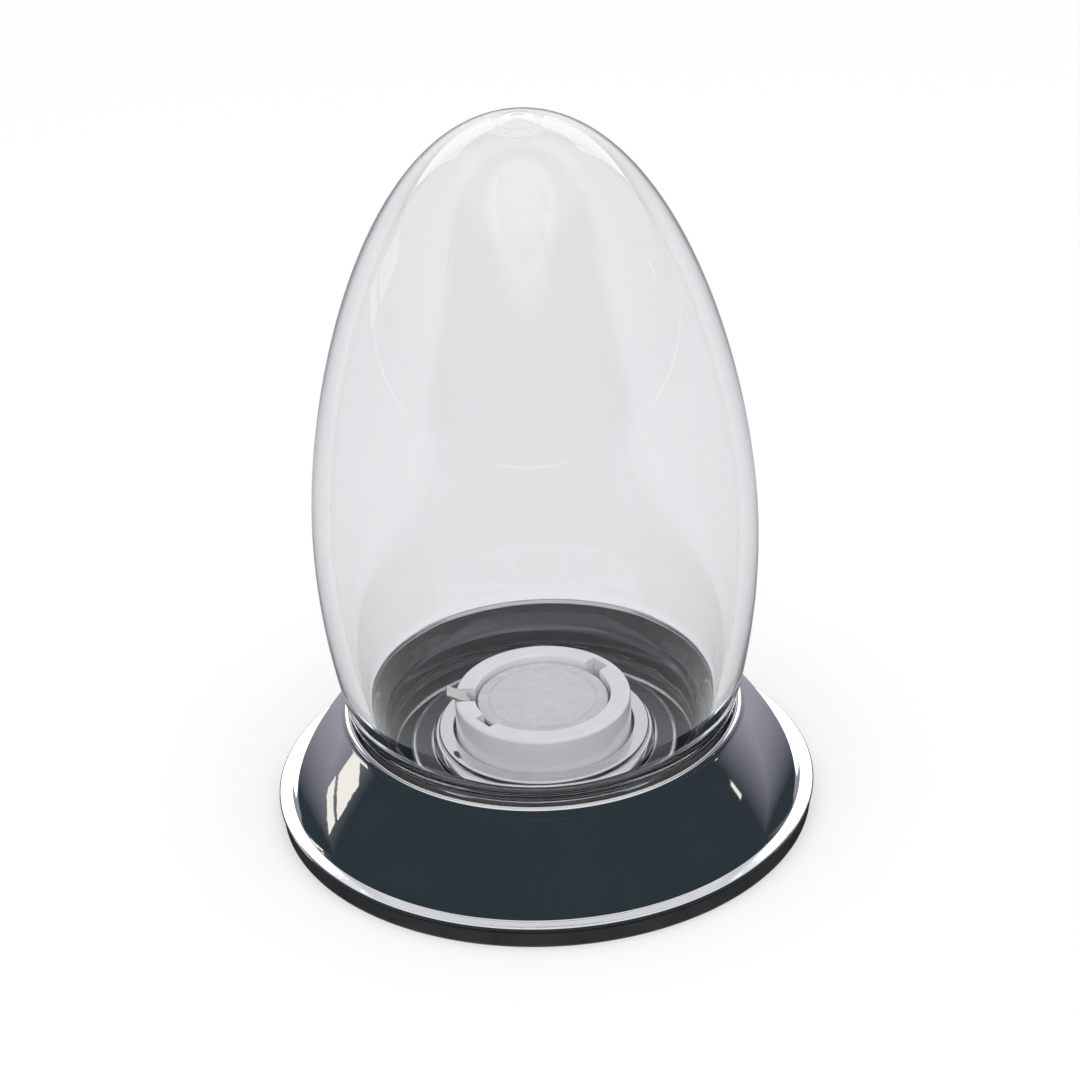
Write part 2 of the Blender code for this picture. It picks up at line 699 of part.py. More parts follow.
def cross_bar(name, radius, inner, outer, angle):
    """A level round bar that points away from the axis, at the height of the lamp's pins."""
    bar = round_bar(name, radius, inner, outer, TINY_STEPS)
    bar.data.transform(Matrix.Translation((0.0, 0.0, (inner + outer) / 2)))
    bar.data.transform(Matrix.Rotation(math.pi / 2, 4, "Y"))
    bar.data.transform(Matrix.Rotation(angle, 4, "Z"))
    bar.location = (0.0, 0.0, PIN_Z)
    return bar


def make_lamp_pins(mat):
    for i, angle in enumerate((PIN_ANGLE, PIN_ANGLE + math.pi), start=1):
        name = f"lamp_pin_{i}"
        as_part(cross_bar(name, PIN_R, PIN_INNER, PIN_OUTER, angle), name, mat)


def make_lamp_insulator(mat):
    stem = LAMP_R / 2
    bottom = LAMP_BOTTOM_Z - 2 * GAP
    shelf = LAMP_BOTTOM_Z + LAMP_WALL + EDGE / 4 + GAP
    profile = [
        (0.0, shelf + 2 * GAP),
        (stem + 2 * EDGE, shelf + 2 * GAP),
        (stem + 2 * EDGE, shelf),
        (stem, shelf),
        (stem, bottom + EDGE / 2),
        (stem - EDGE / 2, bottom),
        (0.0, bottom),
    ]
    plug = turned("lamp_insulator", profile, SMALL_STEPS, closed=False)
    return as_part(plug, "lamp_insulator", mat)


def make_lamp_contact(mat):
    profile = [
        (0.0, CONTACT_TOP_Z),
        (CONTACT_R, CONTACT_TOP_Z),
        (CONTACT_R, CONTACT_TOP_Z - EDGE / 2),
        (CONTACT_TIP_R, PLUNGER_TOP_Z + GAP),
        (0.0, PLUNGER_TOP_Z + GAP),
    ]
    contact = turned("lamp_contact", profile, SMALL_STEPS, closed=False)
    return as_part(contact, "lamp_contact", mat)


def make_led_board(board_mat, chip_mat):
    board_r = LAMP_R - LAMP_WALL - GAP
    board_top = BOARD_Z + BOARD_T
    as_part(round_bar("led_board", board_r, BOARD_Z, board_top, SMALL_STEPS), "led_board", board_mat)
    chip_z = board_top + GAP
    for i in range(CHIP_COUNT):
        name = f"led_chip_{i + 1}"
        block = box(name, (CHIP, -CHIP / 2, chip_z), (2 * CHIP, CHIP / 2, chip_z + CHIP_H),
                    math.radians(90) + 2 * math.pi * i / CHIP_COUNT)
        as_part(block, name, chip_mat)


def lens_top():
    """The lens's shallow crown, from the axis outwards, with the ring line sunk in it."""
    crown = dome(LENS_EDGE_Z + LENS_CROWN, LENS_CROWN, LAMP_R - EDGE / 2, SIDE_STEPS + 1)
    inside = [point for point in crown if point[0] < LENS_LINE_R]
    line_z = inside[-1][1] - LENS_CROWN / 20
    line = [
        (LENS_LINE_R, line_z),
        (LENS_LINE_R + LENS_LINE_W / 2, line_z - LENS_LINE_DEPTH),
        (LENS_LINE_R + LENS_LINE_W, line_z - LENS_CROWN / 20),
    ]
    return inside + line + crown[len(inside):]


def make_lens(mat):
    seat = LAMP_SHELL_TOP_Z + GAP
    spigot = LAMP_R - LAMP_WALL - GAP
    profile = lens_top() + [
        (LAMP_R, LENS_EDGE_Z - EDGE / 2),
        (LAMP_R, seat),
        (spigot, seat),
        (spigot, seat - 2 * GAP),
        (0.0, seat - 2 * GAP),
    ]
    return as_part(turned("lamp_lens", profile, MEDIUM_STEPS, closed=False), "lamp_lens", mat)


# ------------------------------------------------------------------------------------ assembly
def hang_on_axes():
    """Group each moving body under an empty on its joint's axis."""
    groups = {
        "globe_axis": ("globe", "globe_seal"),
        "lamp_axis": ("lamp_shell", "lamp_pin_1", "lamp_pin_2", "lamp_insulator", "lamp_contact",
                      "led_board", "led_chip_1", "led_chip_2", "led_chip_3", "lamp_lens"),
        "plunger_axis": ("contact_plunger",),
    }
    for name, members in groups.items():
        axis = bpy.data.objects.new(name, None)
        bpy.data.collections[COLLECTION].objects.link(axis)
        for member in members:
            bpy.data.objects[member].parent = axis


def build():
    clear_scene()
    collection(COLLECTION)
    collection(TOOLS)
    chrome = material("chrome", (0.78, 0.79, 0.80), 0.06, metallic=1.0)
    clear = material("clear_globe", (0.97, 0.98, 0.98), 0.03, transmission=1.0)
    rubber = material("black_rubber", (0.02, 0.02, 0.022), 0.6)
    white = material("white_moulding", (0.72, 0.72, 0.73), 0.35)
    black = material("black_moulding", (0.03, 0.03, 0.032), 0.45)
    brass = material("brass", (0.72, 0.55, 0.25), 0.25, metallic=1.0)
    nickel = material("nickel", (0.66, 0.64, 0.60), 0.2, metallic=1.0)
    steel = material("stainless", (0.62, 0.62, 0.62), 0.25, metallic=1.0)
    board = material("board", (0.75, 0.76, 0.74), 0.5)
    phosphor = material("phosphor", (0.85, 0.72, 0.20), 0.5)
    lens = material("frosted_lens", (0.82, 0.82, 0.86), 0.3, transmission=0.4)

    make_gasket(rubber)
    make_housing(chrome)
    make_globe(clear)
    make_seal(rubber)
    make_drum(chrome)
    make_ring(chrome)
    make_holder(white)
    make_holder_base(black)
    make_base_screws(steel)
    make_live_tag(brass)
    make_return_strip(nickel)
    make_plunger(brass)
    make_spring(steel)
    make_lamp_shell(nickel)
    make_lamp_pins(nickel)
    make_lamp_insulator(black)
    make_lamp_contact(brass)
    make_led_board(board, phosphor)
    make_lens(lens)
    hang_on_axes()


build()
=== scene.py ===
"""Looks for the navigation light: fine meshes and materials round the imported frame.

Every piece is rebuilt with real roundings in place of its faceted CAD node. Metres, +Z up.
"""

import json
import math

import bmesh
import bpy
from mathutils import Matrix, Vector


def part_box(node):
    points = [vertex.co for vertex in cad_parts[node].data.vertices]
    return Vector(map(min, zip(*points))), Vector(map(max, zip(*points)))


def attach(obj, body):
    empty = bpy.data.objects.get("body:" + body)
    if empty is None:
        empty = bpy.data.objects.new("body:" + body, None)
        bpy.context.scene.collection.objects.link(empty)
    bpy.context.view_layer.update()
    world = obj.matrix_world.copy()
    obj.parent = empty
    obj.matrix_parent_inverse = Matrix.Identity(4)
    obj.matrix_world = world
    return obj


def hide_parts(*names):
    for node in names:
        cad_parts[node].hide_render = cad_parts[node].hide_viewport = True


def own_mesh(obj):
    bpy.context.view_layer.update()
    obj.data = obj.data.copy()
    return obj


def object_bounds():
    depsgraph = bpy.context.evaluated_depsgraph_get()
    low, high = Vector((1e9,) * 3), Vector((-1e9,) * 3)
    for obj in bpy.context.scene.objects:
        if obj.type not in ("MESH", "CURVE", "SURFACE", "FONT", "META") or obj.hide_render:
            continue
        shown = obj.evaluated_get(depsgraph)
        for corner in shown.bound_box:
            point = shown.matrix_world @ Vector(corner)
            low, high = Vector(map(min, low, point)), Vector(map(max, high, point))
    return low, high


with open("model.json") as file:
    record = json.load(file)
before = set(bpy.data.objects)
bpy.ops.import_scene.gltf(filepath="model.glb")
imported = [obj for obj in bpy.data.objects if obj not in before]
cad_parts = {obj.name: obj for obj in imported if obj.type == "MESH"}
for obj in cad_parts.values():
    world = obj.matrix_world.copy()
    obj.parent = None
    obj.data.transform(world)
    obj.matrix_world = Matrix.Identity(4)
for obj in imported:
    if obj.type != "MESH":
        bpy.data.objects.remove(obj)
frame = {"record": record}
cad_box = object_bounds()

# ------------------------------------------------------------------------------- sizes in metres
MM = 0.001
GAP = 0.3 * MM
RINGS = 192                 # facets round the large turned pieces
FINE = 128                  # facets round the holder and the lamp
ROUND = 6                   # facets across a rounded corner

BASE_LOW, BASE_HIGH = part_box("base_housing")
FLANGE_R = BASE_HIGH.x
BASE_Z = BASE_LOW.z
WALL = 1.8 * MM
BRIM_R = 0.3 * MM
SKIRT_TOP = (22.3 * MM, 12.5 * MM)
SKIRT_FOOT = (28.4 * MM, 2.9 * MM)
SKIRT_BULGE = 0.35 * MM
LIP_R = 0.5 * MM
SEAL_SEAT_R = 21.3 * MM
SEAL_SEAT_Z = 11.3 * MM
BORE_R = 19.4 * MM
BORE_EDGE = 0.12 * MM         # rounding at the bore's top, which the groove runs out through
FLOOR_Z = 5.2 * MM
FLOOR_UNDER_Z = 4.0 * MM
FLOOR_HOLE_R = 10.3 * MM
BOSS_CIRCLE_R = 22.9 * MM
BOSS_R = 2.6 * MM
BOSS_TOP_Z = 6.2 * MM
TAP_R = 1.65 * MM
TAP_DEPTH = 3.4 * MM
BOSS_COUNT = 3

GASKET_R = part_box("base_gasket")[1].x
GASKET_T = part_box("base_gasket")[1].z
GASKET_HOLE_R = 17.5 * MM
SCREW_CLEARANCE_R = 2.3 * MM

GLOBE_R = 24.5 * MM
GLOBE_WIDE_Z = 36.0 * MM
GLOBE_TOP_Z = 85.8 * MM
GLOBE_FOOT = (21.6 * MM, 13.9 * MM)
GLOBE_WALL = 2.0 * MM
GLOBE_INNER_FOOT = (19.7 * MM, 14.9 * MM)
GLOBE_RISE = 17.6 * MM
GLOBE_SPREAD = 16.9 * MM
PIP_R = 2.5 * MM
PIP_H = 0.36 * MM
NECK_R = 19.2 * MM
NECK_WALL = 1.8 * MM
NECK_Z = 6.6 * MM
SHOULDER = (21.0 * MM, 13.0 * MM)
THREAD_PITCH = 3.0 * MM
THREAD_R = 0.5 * MM
THREAD_CENTRE_R = 19.1 * MM
THREAD_Z = 7.7 * MM
THREAD_TURNS = 1.1
THREAD_LEAD = 2 / 36        # turns by which the groove runs ahead of the thread
GROOVE_TURNS = 1.7

SEAL_CENTRE_R = 20.5 * MM
SEAL_R = 0.5 * MM
DRUM_R = 15.35 * MM
DRUM_TOP_Z = 8.8 * MM
DRUM_WALL = 1.5 * MM
HOLDER_R = 9.9 * MM
HOLDER_BORE_R = 7.65 * MM
HOLDER_TOP_Z = 14.5 * MM
HOLDER_BOTTOM_Z = 2.4 * MM
HOLDER_FLANGE_R = 12.0 * MM
HOLDER_BASE_Z = 0.5 * MM
RING_R = 12.6 * MM
RING_STEP_R = 11.9 * MM
RING_TOP_Z = 10.5 * MM
RING_STEP_Z = 9.8 * MM
LAMP_R = 7.35 * MM
LAMP_Z = 7.0 * MM
LAMP_SHELL_TOP_Z = 12.9 * MM
LAMP_WALL = 0.5 * MM
LENS_EDGE_Z = 13.7 * MM
LENS_CROWN = 0.4 * MM
LENS_LINE = (5.9 * MM, 6.3 * MM, 0.2 * MM)   # inner and outer radius, depth
PIN_R = 0.9 * MM
PIN_Z = 8.9 * MM
PIN_INNER = 6.3 * MM
PIN_OUTER = 8.55 * MM
PIN_ANGLES = (math.radians(15), math.radians(15) + math.pi)
PIN_STEPS = 40
TURN_ANGLE = math.radians(25)
PUSH = 0.8 * MM
STRIP_W = 2.0 * MM
STRIP_T = 0.3 * MM
TAG_W = 2.8 * MM
TAG_REACH = 16.0 * MM
PLUNGER_R = 3.0 * MM
STEM_R = 1.2 * MM
PLUNGER_TOP_Z = 5.4 * MM
PLUNGER_HEAD_T = 0.8 * MM
SPRING_R = 2.2 * MM
WIRE_R = 0.2 * MM
SPRING_TURNS = 2.5
WELL_R = 3.4 * MM
WELL_Z = 1.2 * MM
BASE_SCREW_AT = 9.7 * MM
BASE_SCREW_R = 0.8 * MM
BASE_SCREW_HEAD_R = 1.7 * MM

BORE_BAND = (15.5 * MM, 20.5 * MM)      # radii of the unpolished bore and its floor, also painted with shade
DRUM_BAND = (12.8 * MM, 14.75 * MM)     # radii of the drum's unpolished flat top, also painted with shade
CROWN_HIGHLIGHT_BAND = (64 * MM, 84 * MM)         # heights over which the globe's tint fades to clearer, a painted highlight on the crown

CAMERA_AIM = Vector((0.0, 0.0, 2.45 * MM))
CAMERA_DISTANCE = 750 * MM
CAMERA_DOWN = math.radians(31.0)
CAMERA_ROLL = math.radians(-2.45)
CAMERA_ASIDE = -0.71 * MM               # steps across and up from the line through the aim
CAMERA_UP = 26.99 * MM
PICTURE_WIDTH = 121.35 * MM             # width that the picture covers at that distance
SENSOR = 36.0                           # millimetres, as Blender counts them

# ------------------------------------------------------------------------------------- shapes
def rounded(corners, steps=ROUND):
    """Fillet a closed profile whose corners are (radius, height, fillet radius)."""
    points = []
    count = len(corners)
    for i, (radius, height, fillet) in enumerate(corners):
        here = Vector((radius, height))
        if fillet == 0:
            points.append((radius, height))
            continue
        back = (Vector(corners[i - 1][:2]) - here).normalized()
        ahead = (Vector(corners[(i + 1) % count][:2]) - here).normalized()
        half = back.angle(ahead) / 2
        centre = here + (back + ahead).normalized() * (fillet / math.sin(half))
        first = here + back * (fillet / math.tan(half)) - centre
        last = here + ahead * (fillet / math.tan(half)) - centre
        sweep = first.angle_signed(last)
        for k in range(steps + 1):
            turn = Matrix.Rotation(-sweep * k / steps, 2)
            point = centre + turn @ first
            points.append((point.x, point.y))
    return points


def arc(centre, radius, start, end, steps):
    points = []
    for i in range(steps + 1):
        angle = math.radians(start + (end - start) * i / steps)
        points.append((centre[0] + radius * math.cos(angle), centre[1] + radius * math.sin(angle)))
    return points


def bezier(p0, p1, p2, p3, steps):
    points = []
    for i in range(steps + 1):
        t = i / steps
        weights = ((1 - t) ** 3, 3 * (1 - t) ** 2 * t, 3 * (1 - t) * t * t, t ** 3)
        points.append(tuple(sum(w * p[k] for w, p in zip(weights, (p0, p1, p2, p3)))
                            for k in range(2)))
    return points


def bowed(start, end, bulge, steps):
    along = Vector(end) - Vector(start)
    outward = Vector((-along.y, along.x)).normalized()
    points = []
    for i in range(steps + 1):
        t = i / steps
        point = Vector(start) + along * t + outward * (4 * bulge * t * (1 - t))
        points.append((point.x, point.y))
    return points


def straight(start, end, steps):
    """Points from start to end, both left out."""
    return [tuple(Vector(start).lerp(Vector(end), i / steps)) for i in range(1, steps)]


def dome(top, rise, radius, steps):
    ball_r = (radius * radius + rise * rise) / (2 * rise)
    reach = math.degrees(math.asin(radius / ball_r))
    return arc((0.0, top - ball_r), ball_r, 90, 90 - reach, steps)


def show(name, mesh, sharp=32):
    mesh.shade_smooth()
    mesh.set_sharp_from_angle(angle=math.radians(sharp))
    obj = bpy.data.objects.new(name, mesh)
    bpy.context.scene.collection.objects.link(obj)
    return obj


def lathe(name, profile, steps=RINGS, relief=None, sharp=32):
    """Turn a profile that runs down its outer side; relief(angle, radius, height) may shift it."""
    verts = []
    rows = []
    for radius, height in profile:
        if radius < 1e-7:
            rows.append([len(verts)] * steps)
            verts.append((0.0, 0.0, height))
            continue
        rows.append(range(len(verts), len(verts) + steps))
        for k in range(steps):
            angle = 2 * math.pi * k / steps
            reach = radius + (relief(angle, radius, height) if relief else 0.0)
            verts.append((reach * math.cos(angle), reach * math.sin(angle), height))
    open_ended = profile[0][0] < 1e-7
    faces = []
    for i in range(len(rows) - (1 if open_ended else 0)):
        upper, lower = rows[i], rows[(i + 1) % len(rows)]
        for k in range(steps):
            after = (k + 1) % steps
            face = (upper[k], lower[k], lower[after], upper[after])
            faces.append(tuple(dict.fromkeys(face)))
    mesh = bpy.data.meshes.new(name)
    mesh.from_pydata(verts, [], [f for f in faces if len(f) > 2])
    return show(name, mesh, sharp)


def round_bar(name, radius, bottom, top, at=(0.0, 0.0), steps=48):
    mesh = bpy.data.meshes.new(name)
    bm = bmesh.new()
    bmesh.ops.create_cone(bm, cap_ends=True, segments=steps, radius1=radius, radius2=radius,
                          depth=top - bottom,
                          matrix=Matrix.Translation((at[0], at[1], (top + bottom) / 2)))
    bm.to_mesh(mesh)
    bm.free()
    return show(name, mesh)


def block(name, low, high, turn=0.0, bevel=0.0):
    mesh = bpy.data.meshes.new(name)
    bm = bmesh.new()
    bmesh.ops.create_cube(bm, size=1.0)
    size = Vector(high) - Vector(low)
    centre = (Vector(high) + Vector(low)) / 2
    bm.transform(Matrix.Rotation(turn, 4, "Z") @ Matrix.Translation(centre)
                 @ Matrix.Diagonal((*size, 1.0)))
    if bevel:
        bmesh.ops.bevel(bm, geom=bm.edges[:], offset=bevel, segments=3, profile=0.5,
                        affect="EDGES")
    bm.to_mesh(mesh)
    bm.free()
    return show(name, mesh)


def prism(name, outlines, bottom, top, bevel=0.0):
    """A flat plate from closed outlines of (x, y) points; the outlines after the first are holes."""
    curve = bpy.data.curves.new(name, "CURVE")
    curve.dimensions = "2D"
    curve.fill_mode = "BOTH"
    curve.extrude = (top - bottom) / 2 - bevel
    curve.bevel_depth = bevel
    curve.bevel_resolution = 2 if bevel else 0
    curve.offset = -bevel
    for outline in outlines:
        spline = curve.splines.new("POLY")
        spline.points.add(len(outline) - 1)
        for point, place in zip(spline.points, outline):
            point.co = (*place, 0.0, 1.0)
        spline.use_cyclic_u = True
    return from_curve(name, curve, (bottom + top) / 2)


def tube(name, points, radius):
    curve = bpy.data.curves.new(name, "CURVE")
    curve.dimensions = "3D"
    curve.bevel_depth = radius
    curve.bevel_resolution = 6
    curve.use_fill_caps = True
    spline = curve.splines.new("POLY")
    spline.points.add(len(points) - 1)
    for point, place in zip(spline.points, points):
        point.co = (*place, 1.0)
    return from_curve(name, curve, 0.0)


def from_curve(name, curve, height):
    holder = bpy.data.objects.new(name + "_line", curve)
    bpy.context.scene.collection.objects.link(holder)
    bpy.context.view_layer.update()
    depsgraph = bpy.context.evaluated_depsgraph_get()
    mesh = bpy.data.meshes.new_from_object(holder.evaluated_get(depsgraph))
    bpy.data.objects.remove(holder, do_unlink=True)
    mesh.transform(Matrix.Translation((0.0, 0.0, height)))
    bm = bmesh.new()
    bm.from_mesh(mesh)
    bmesh.ops.remove_doubles(bm, verts=bm.verts, dist=1e-6)
    bmesh.ops.recalc_face_normals(bm, faces=bm.faces)
    bm.to_mesh(mesh)
    bm.free()
    return show(name, mesh)


def carve(obj, tools, operation="DIFFERENCE", solver="MANIFOLD"):
    """Cut or join the tools, apply the result and drop them."""
    for tool in tools:
        mod = obj.modifiers.new(tool.name, "BOOLEAN")
        mod.operation = operation
        mod.solver = solver
        mod.object = tool
    bpy.context.view_layer.update()
    depsgraph = bpy.context.evaluated_depsgraph_get()
    mesh = bpy.data.meshes.new_from_object(obj.evaluated_get(depsgraph))
    obj.modifiers.clear()
    obj.data = mesh
    for tool in tools:
        bpy.data.objects.remove(tool, do_unlink=True)
    mesh.shade_smooth()
    mesh.set_sharp_from_angle(angle=math.radians(32))
    return obj


def on_circle(radius, angle):
    return (radius * math.cos(angle), radius * math.sin(angle))


def boss_places():
    return [on_circle(BOSS_CIRCLE_R, math.radians(90) + 2 * math.pi * i / BOSS_COUNT)
            for i in range(BOSS_COUNT)]


def helix_relief(first, last, section_r, sign):
    """Radius shift of a round thread that runs from turn `first` to turn `last`."""
    fade = 0.06

    def shift(angle, radius, height):
        best = 0.0
        for turn in (-1, 0, 1, 2):
            at = angle / (2 * math.pi) + turn
            if not first <= at <= last:
                continue
            off = height - (THREAD_Z + THREAD_PITCH * at)
            if abs(off) >= section_r:
                continue
            reach = THREAD_CENTRE_R + math.sqrt(section_r ** 2 - off ** 2)
            ease = min(1.0, (at - first) / fade, (last - at) / fade)
            best = max(best, (reach - radius) * math.sqrt(max(0.0, ease)))
        return sign * max(0.0, best)
    return shift


# ---------------------------------------------------------------------------------- materials
def start(name):
    mat = bpy.data.materials.new(name)
    mat.use_nodes = True
    return mat, mat.node_tree, mat.node_tree.nodes["Principled BSDF"]


def place(tree, stretch=(1, 1, 1)):
    coords = tree.nodes.new("ShaderNodeTexCoord")
    mapping = tree.nodes.new("ShaderNodeMapping")
    mapping.inputs["Scale"].default_value = stretch
    tree.links.new(coords.outputs["Object"], mapping.inputs["Vector"])
    return mapping.outputs["Vector"]


def noise(tree, where, scale, detail=3.0, roughness=0.55):
    node = tree.nodes.new("ShaderNodeTexNoise")
    node.inputs["Scale"].default_value = scale
    node.inputs["Detail"].default_value = detail
    node.inputs["Roughness"].default_value = roughness
    tree.links.new(where, node.inputs["Vector"])
    return node.outputs["Fac"]


def between(tree, value, low, high, source=(0.3, 0.7)):
    node = tree.nodes.new("ShaderNodeMapRange")
    node.inputs["From Min"].default_value = source[0]
    node.inputs["From Max"].default_value = source[1]
    node.inputs["To Min"].default_value = low
    node.inputs["To Max"].default_value = high
    tree.links.new(value, node.inputs["Value"])
    return node.outputs["Result"]


def blend_colours(tree, value, first, second):
    """Mix two colours, each given as a tuple or as another node's output."""
    node = tree.nodes.new("ShaderNodeMix")
    node.data_type = "RGBA"
    for key, colour in (("A", first), ("B", second)):
        if isinstance(colour, tuple):
            node.inputs[key].default_value = (*colour, 1.0)
        else:
            tree.links.new(colour, node.inputs[key])
    tree.links.new(value, node.inputs["Factor"])
    return node.outputs["Result"]


def combine(tree, operation, first, second):
    node = tree.nodes.new("ShaderNodeMath")
    node.operation = operation
    tree.links.new(first, node.inputs[0])
    tree.links.new(second, node.inputs[1])
    return node.outputs["Value"]


def parts_of(tree, vector):
    node = tree.nodes.new("ShaderNodeSeparateXYZ")
    tree.links.new(vector, node.inputs["Vector"])
    return node.outputs


def bump(tree, shader, *layers):
    """Layers are (height field, depth in metres)."""
    last = None
    for field, depth in layers:
        node = tree.nodes.new("ShaderNodeBump")
        node.inputs["Strength"].default_value = 1.0
        node.inputs["Distance"].default_value = depth
        tree.links.new(field, node.inputs["Height"])
        if last:
            tree.links.new(last, node.inputs["Normal"])
        last = node.outputs["Normal"]
    tree.links.new(last, shader.inputs["Normal"])


def chrome(name="chrome", tone=0.83):
    mat, tree, shader = start(name)
    where = place(tree)
    cloud = noise(tree, where, 140, 4)
    grain = noise(tree, where, 2600, 2)
    tint = blend_colours(tree, between(tree, cloud, 0, 1), (tone - 0.03, tone - 0.02, tone),
                         (tone, tone + 0.01, tone + 0.02))
    # painted shade: the unpolished bands take a dark colour, darker deeper in the cup
    depth = between(tree, parts_of(tree, where)["Z"], 0, 1, (FLOOR_Z, SEAL_SEAT_Z))
    painted_cup_shade = blend_colours(tree, depth, (0.035, 0.044, 0.050), (0.19, 0.19, 0.22))
    dull_and_shaded = unpolished_and_shaded(tree)
    tree.links.new(blend_colours(tree, dull_and_shaded, tint, painted_cup_shade), shader.inputs["Base Color"])
    gloss = tree.nodes.new("ShaderNodeMath")
    gloss.operation = "MULTIPLY_ADD"
    gloss.inputs[1].default_value = 0.45
    tree.links.new(dull_and_shaded, gloss.inputs[0])
    tree.links.new(between(tree, cloud, 0.02, 0.06), gloss.inputs[2])
    tree.links.new(gloss.outputs["Value"], shader.inputs["Roughness"])
    shader.inputs["Metallic"].default_value = 1.0
    bump(tree, shader, (cloud, 0.00002), (grain, 0.0000012))
    return mat


def unpolished_and_shaded(tree):
    """1 on the unpolished bore and the drum's flat top, which are rougher and painted with shade, 0
    on the polished plate.
    """
    reach = tree.nodes.new("ShaderNodeVectorMath")
    reach.operation = "LENGTH"
    tree.links.new(place(tree, (1, 1, 0)), reach.inputs[0])
    return combine(tree, "ADD", band(tree, reach.outputs["Value"], *BORE_BAND),
                   band(tree, reach.outputs["Value"], *DRUM_BAND))


def band(tree, value, low, high):
    """1 between two radii and 0 outside them, with soft ends."""
    soft = 0.12 * MM
    return combine(tree, "MULTIPLY", between(tree, value, 0, 1, (low - soft, low + soft)),
                   between(tree, value, 1, 0, (high - soft, high + soft)))


def plated(name, light, dark, rough):
    mat, tree, shader = start(name)
    where = place(tree)
    cloud = noise(tree, where, 500, 4)
    brushed = noise(tree, place(tree, (1, 1, 0.06)), 5000, 2)
    tree.links.new(blend_colours(tree, between(tree, cloud, 0, 1), dark, light),
                   shader.inputs["Base Color"])
    tree.links.new(between(tree, cloud, rough * 0.7, rough * 1.4), shader.inputs["Roughness"])
    shader.inputs["Metallic"].default_value = 1.0
    bump(tree, shader, (cloud, 0.000006), (brushed, 0.000002))
    return mat


def moulded(name, light, dark, rough, grain_depth=0.000006, coat=0.0):
    mat, tree, shader = start(name)
    where = place(tree)
    cloud = noise(tree, where, 220, 4)
    grain = noise(tree, where, 3200, 3)
    tree.links.new(blend_colours(tree, between(tree, cloud, 0, 1), dark, light),
                   shader.inputs["Base Color"])
    tree.links.new(between(tree, grain, rough * 0.8, rough * 1.25), shader.inputs["Roughness"])
    shader.inputs["Coat Weight"].default_value = coat
    bump(tree, shader, (cloud, 0.00001), (grain, grain_depth))
    return mat


def clear(name="clear_globe"):
    mat, tree, shader = start(name)
    flow = noise(tree, place(tree, (1, 1, 0.35)), 45, 3)
    haze = noise(tree, place(tree), 900, 3)
    shader.inputs["Transmission Weight"].default_value = 1.0
    shader.inputs["IOR"].default_value = 1.49
    # painted highlight: the tint turns clearer over the crown's heights
    crown = between(tree, parts_of(tree, place(tree))["Z"], 0, 1, CROWN_HIGHLIGHT_BAND)
    tint = blend_colours(tree, crown, (0.914, 0.917, 0.927), (0.965, 0.965, 0.97))
    tree.links.new(tint, shader.inputs["Base Color"])
    tree.links.new(between(tree, haze, 0.0, 0.01), shader.inputs["Roughness"])
    bump(tree, shader, (flow, 0.00002))
    smoke = tree.nodes.new("ShaderNodeVolumeAbsorption")
    smoke.inputs["Color"].default_value = (0.55, 0.56, 0.62, 1.0)
    smoke.inputs["Density"].default_value = 10.0
    tree.links.new(smoke.outputs["Volume"], tree.nodes["Material Output"].inputs["Volume"])
    return mat


def frosted(name="frosted_lens"):
    mat, tree, shader = start(name)
    where = place(tree)
    cloud = noise(tree, where, 260, 3)
    streaks = noise(tree, place(tree, (0.25, 1, 1)), 900, 2)
    shader.inputs["Transmission Weight"].default_value = 0.06
    shader.inputs["IOR"].default_value = 1.49
    shader.inputs["Coat Weight"].default_value = 0.5
    shader.inputs["Coat Roughness"].default_value = 0.12
    tree.links.new(blend_colours(tree, between(tree, streaks, 0, 1), (0.47, 0.465, 0.50),
                                 (0.52, 0.515, 0.55)), shader.inputs["Base Color"])
    tree.links.new(between(tree, cloud, 0.20, 0.32), shader.inputs["Roughness"])
    bump(tree, shader, (streaks, 0.000005))
    return mat


MATERIALS = {
    "chrome": chrome(),
    "clear_globe": clear(),
    "black_rubber": moulded("black_rubber", (0.028, 0.026, 0.027), (0.016, 0.015, 0.016), 0.55),
    "white_moulding": moulded("white_moulding", (0.64, 0.64, 0.66), (0.58, 0.585, 0.605), 0.2,
                              0.000003, 0.8),
    "black_moulding": moulded("black_moulding", (0.035, 0.035, 0.038), (0.022, 0.022, 0.024), 0.42),
    "brass": plated("brass", (0.78, 0.60, 0.30), (0.66, 0.48, 0.22), 0.22),
    "nickel": plated("nickel", (0.72, 0.70, 0.67), (0.62, 0.60, 0.57), 0.16),
    "stainless": plated("stainless", (0.68, 0.68, 0.68), (0.56, 0.56, 0.57), 0.22),
    "board": moulded("board", (0.76, 0.77, 0.75), (0.70, 0.71, 0.69), 0.45),
    "phosphor": moulded("phosphor", (0.88, 0.74, 0.20), (0.80, 0.64, 0.14), 0.5),
    "frosted_lens": frosted(),
}
SLOTS = {row["node"]: row["material_slot"] for row in frame["record"]["subparts"]}
BODY_OF = {node: body for body, members in frame["record"]["behaviour"]["bodies"].items()
           for node in members}


def stand_for(obj, node):
    """The piece replaces its CAD node, rides on that node's body and takes its finish."""
    obj.data.materials.clear()
    obj.data.materials.append(MATERIALS[SLOTS[node]])
    obj.name = "fine_" + node
    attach(obj, BODY_OF[node])
    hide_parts(node)
    return obj


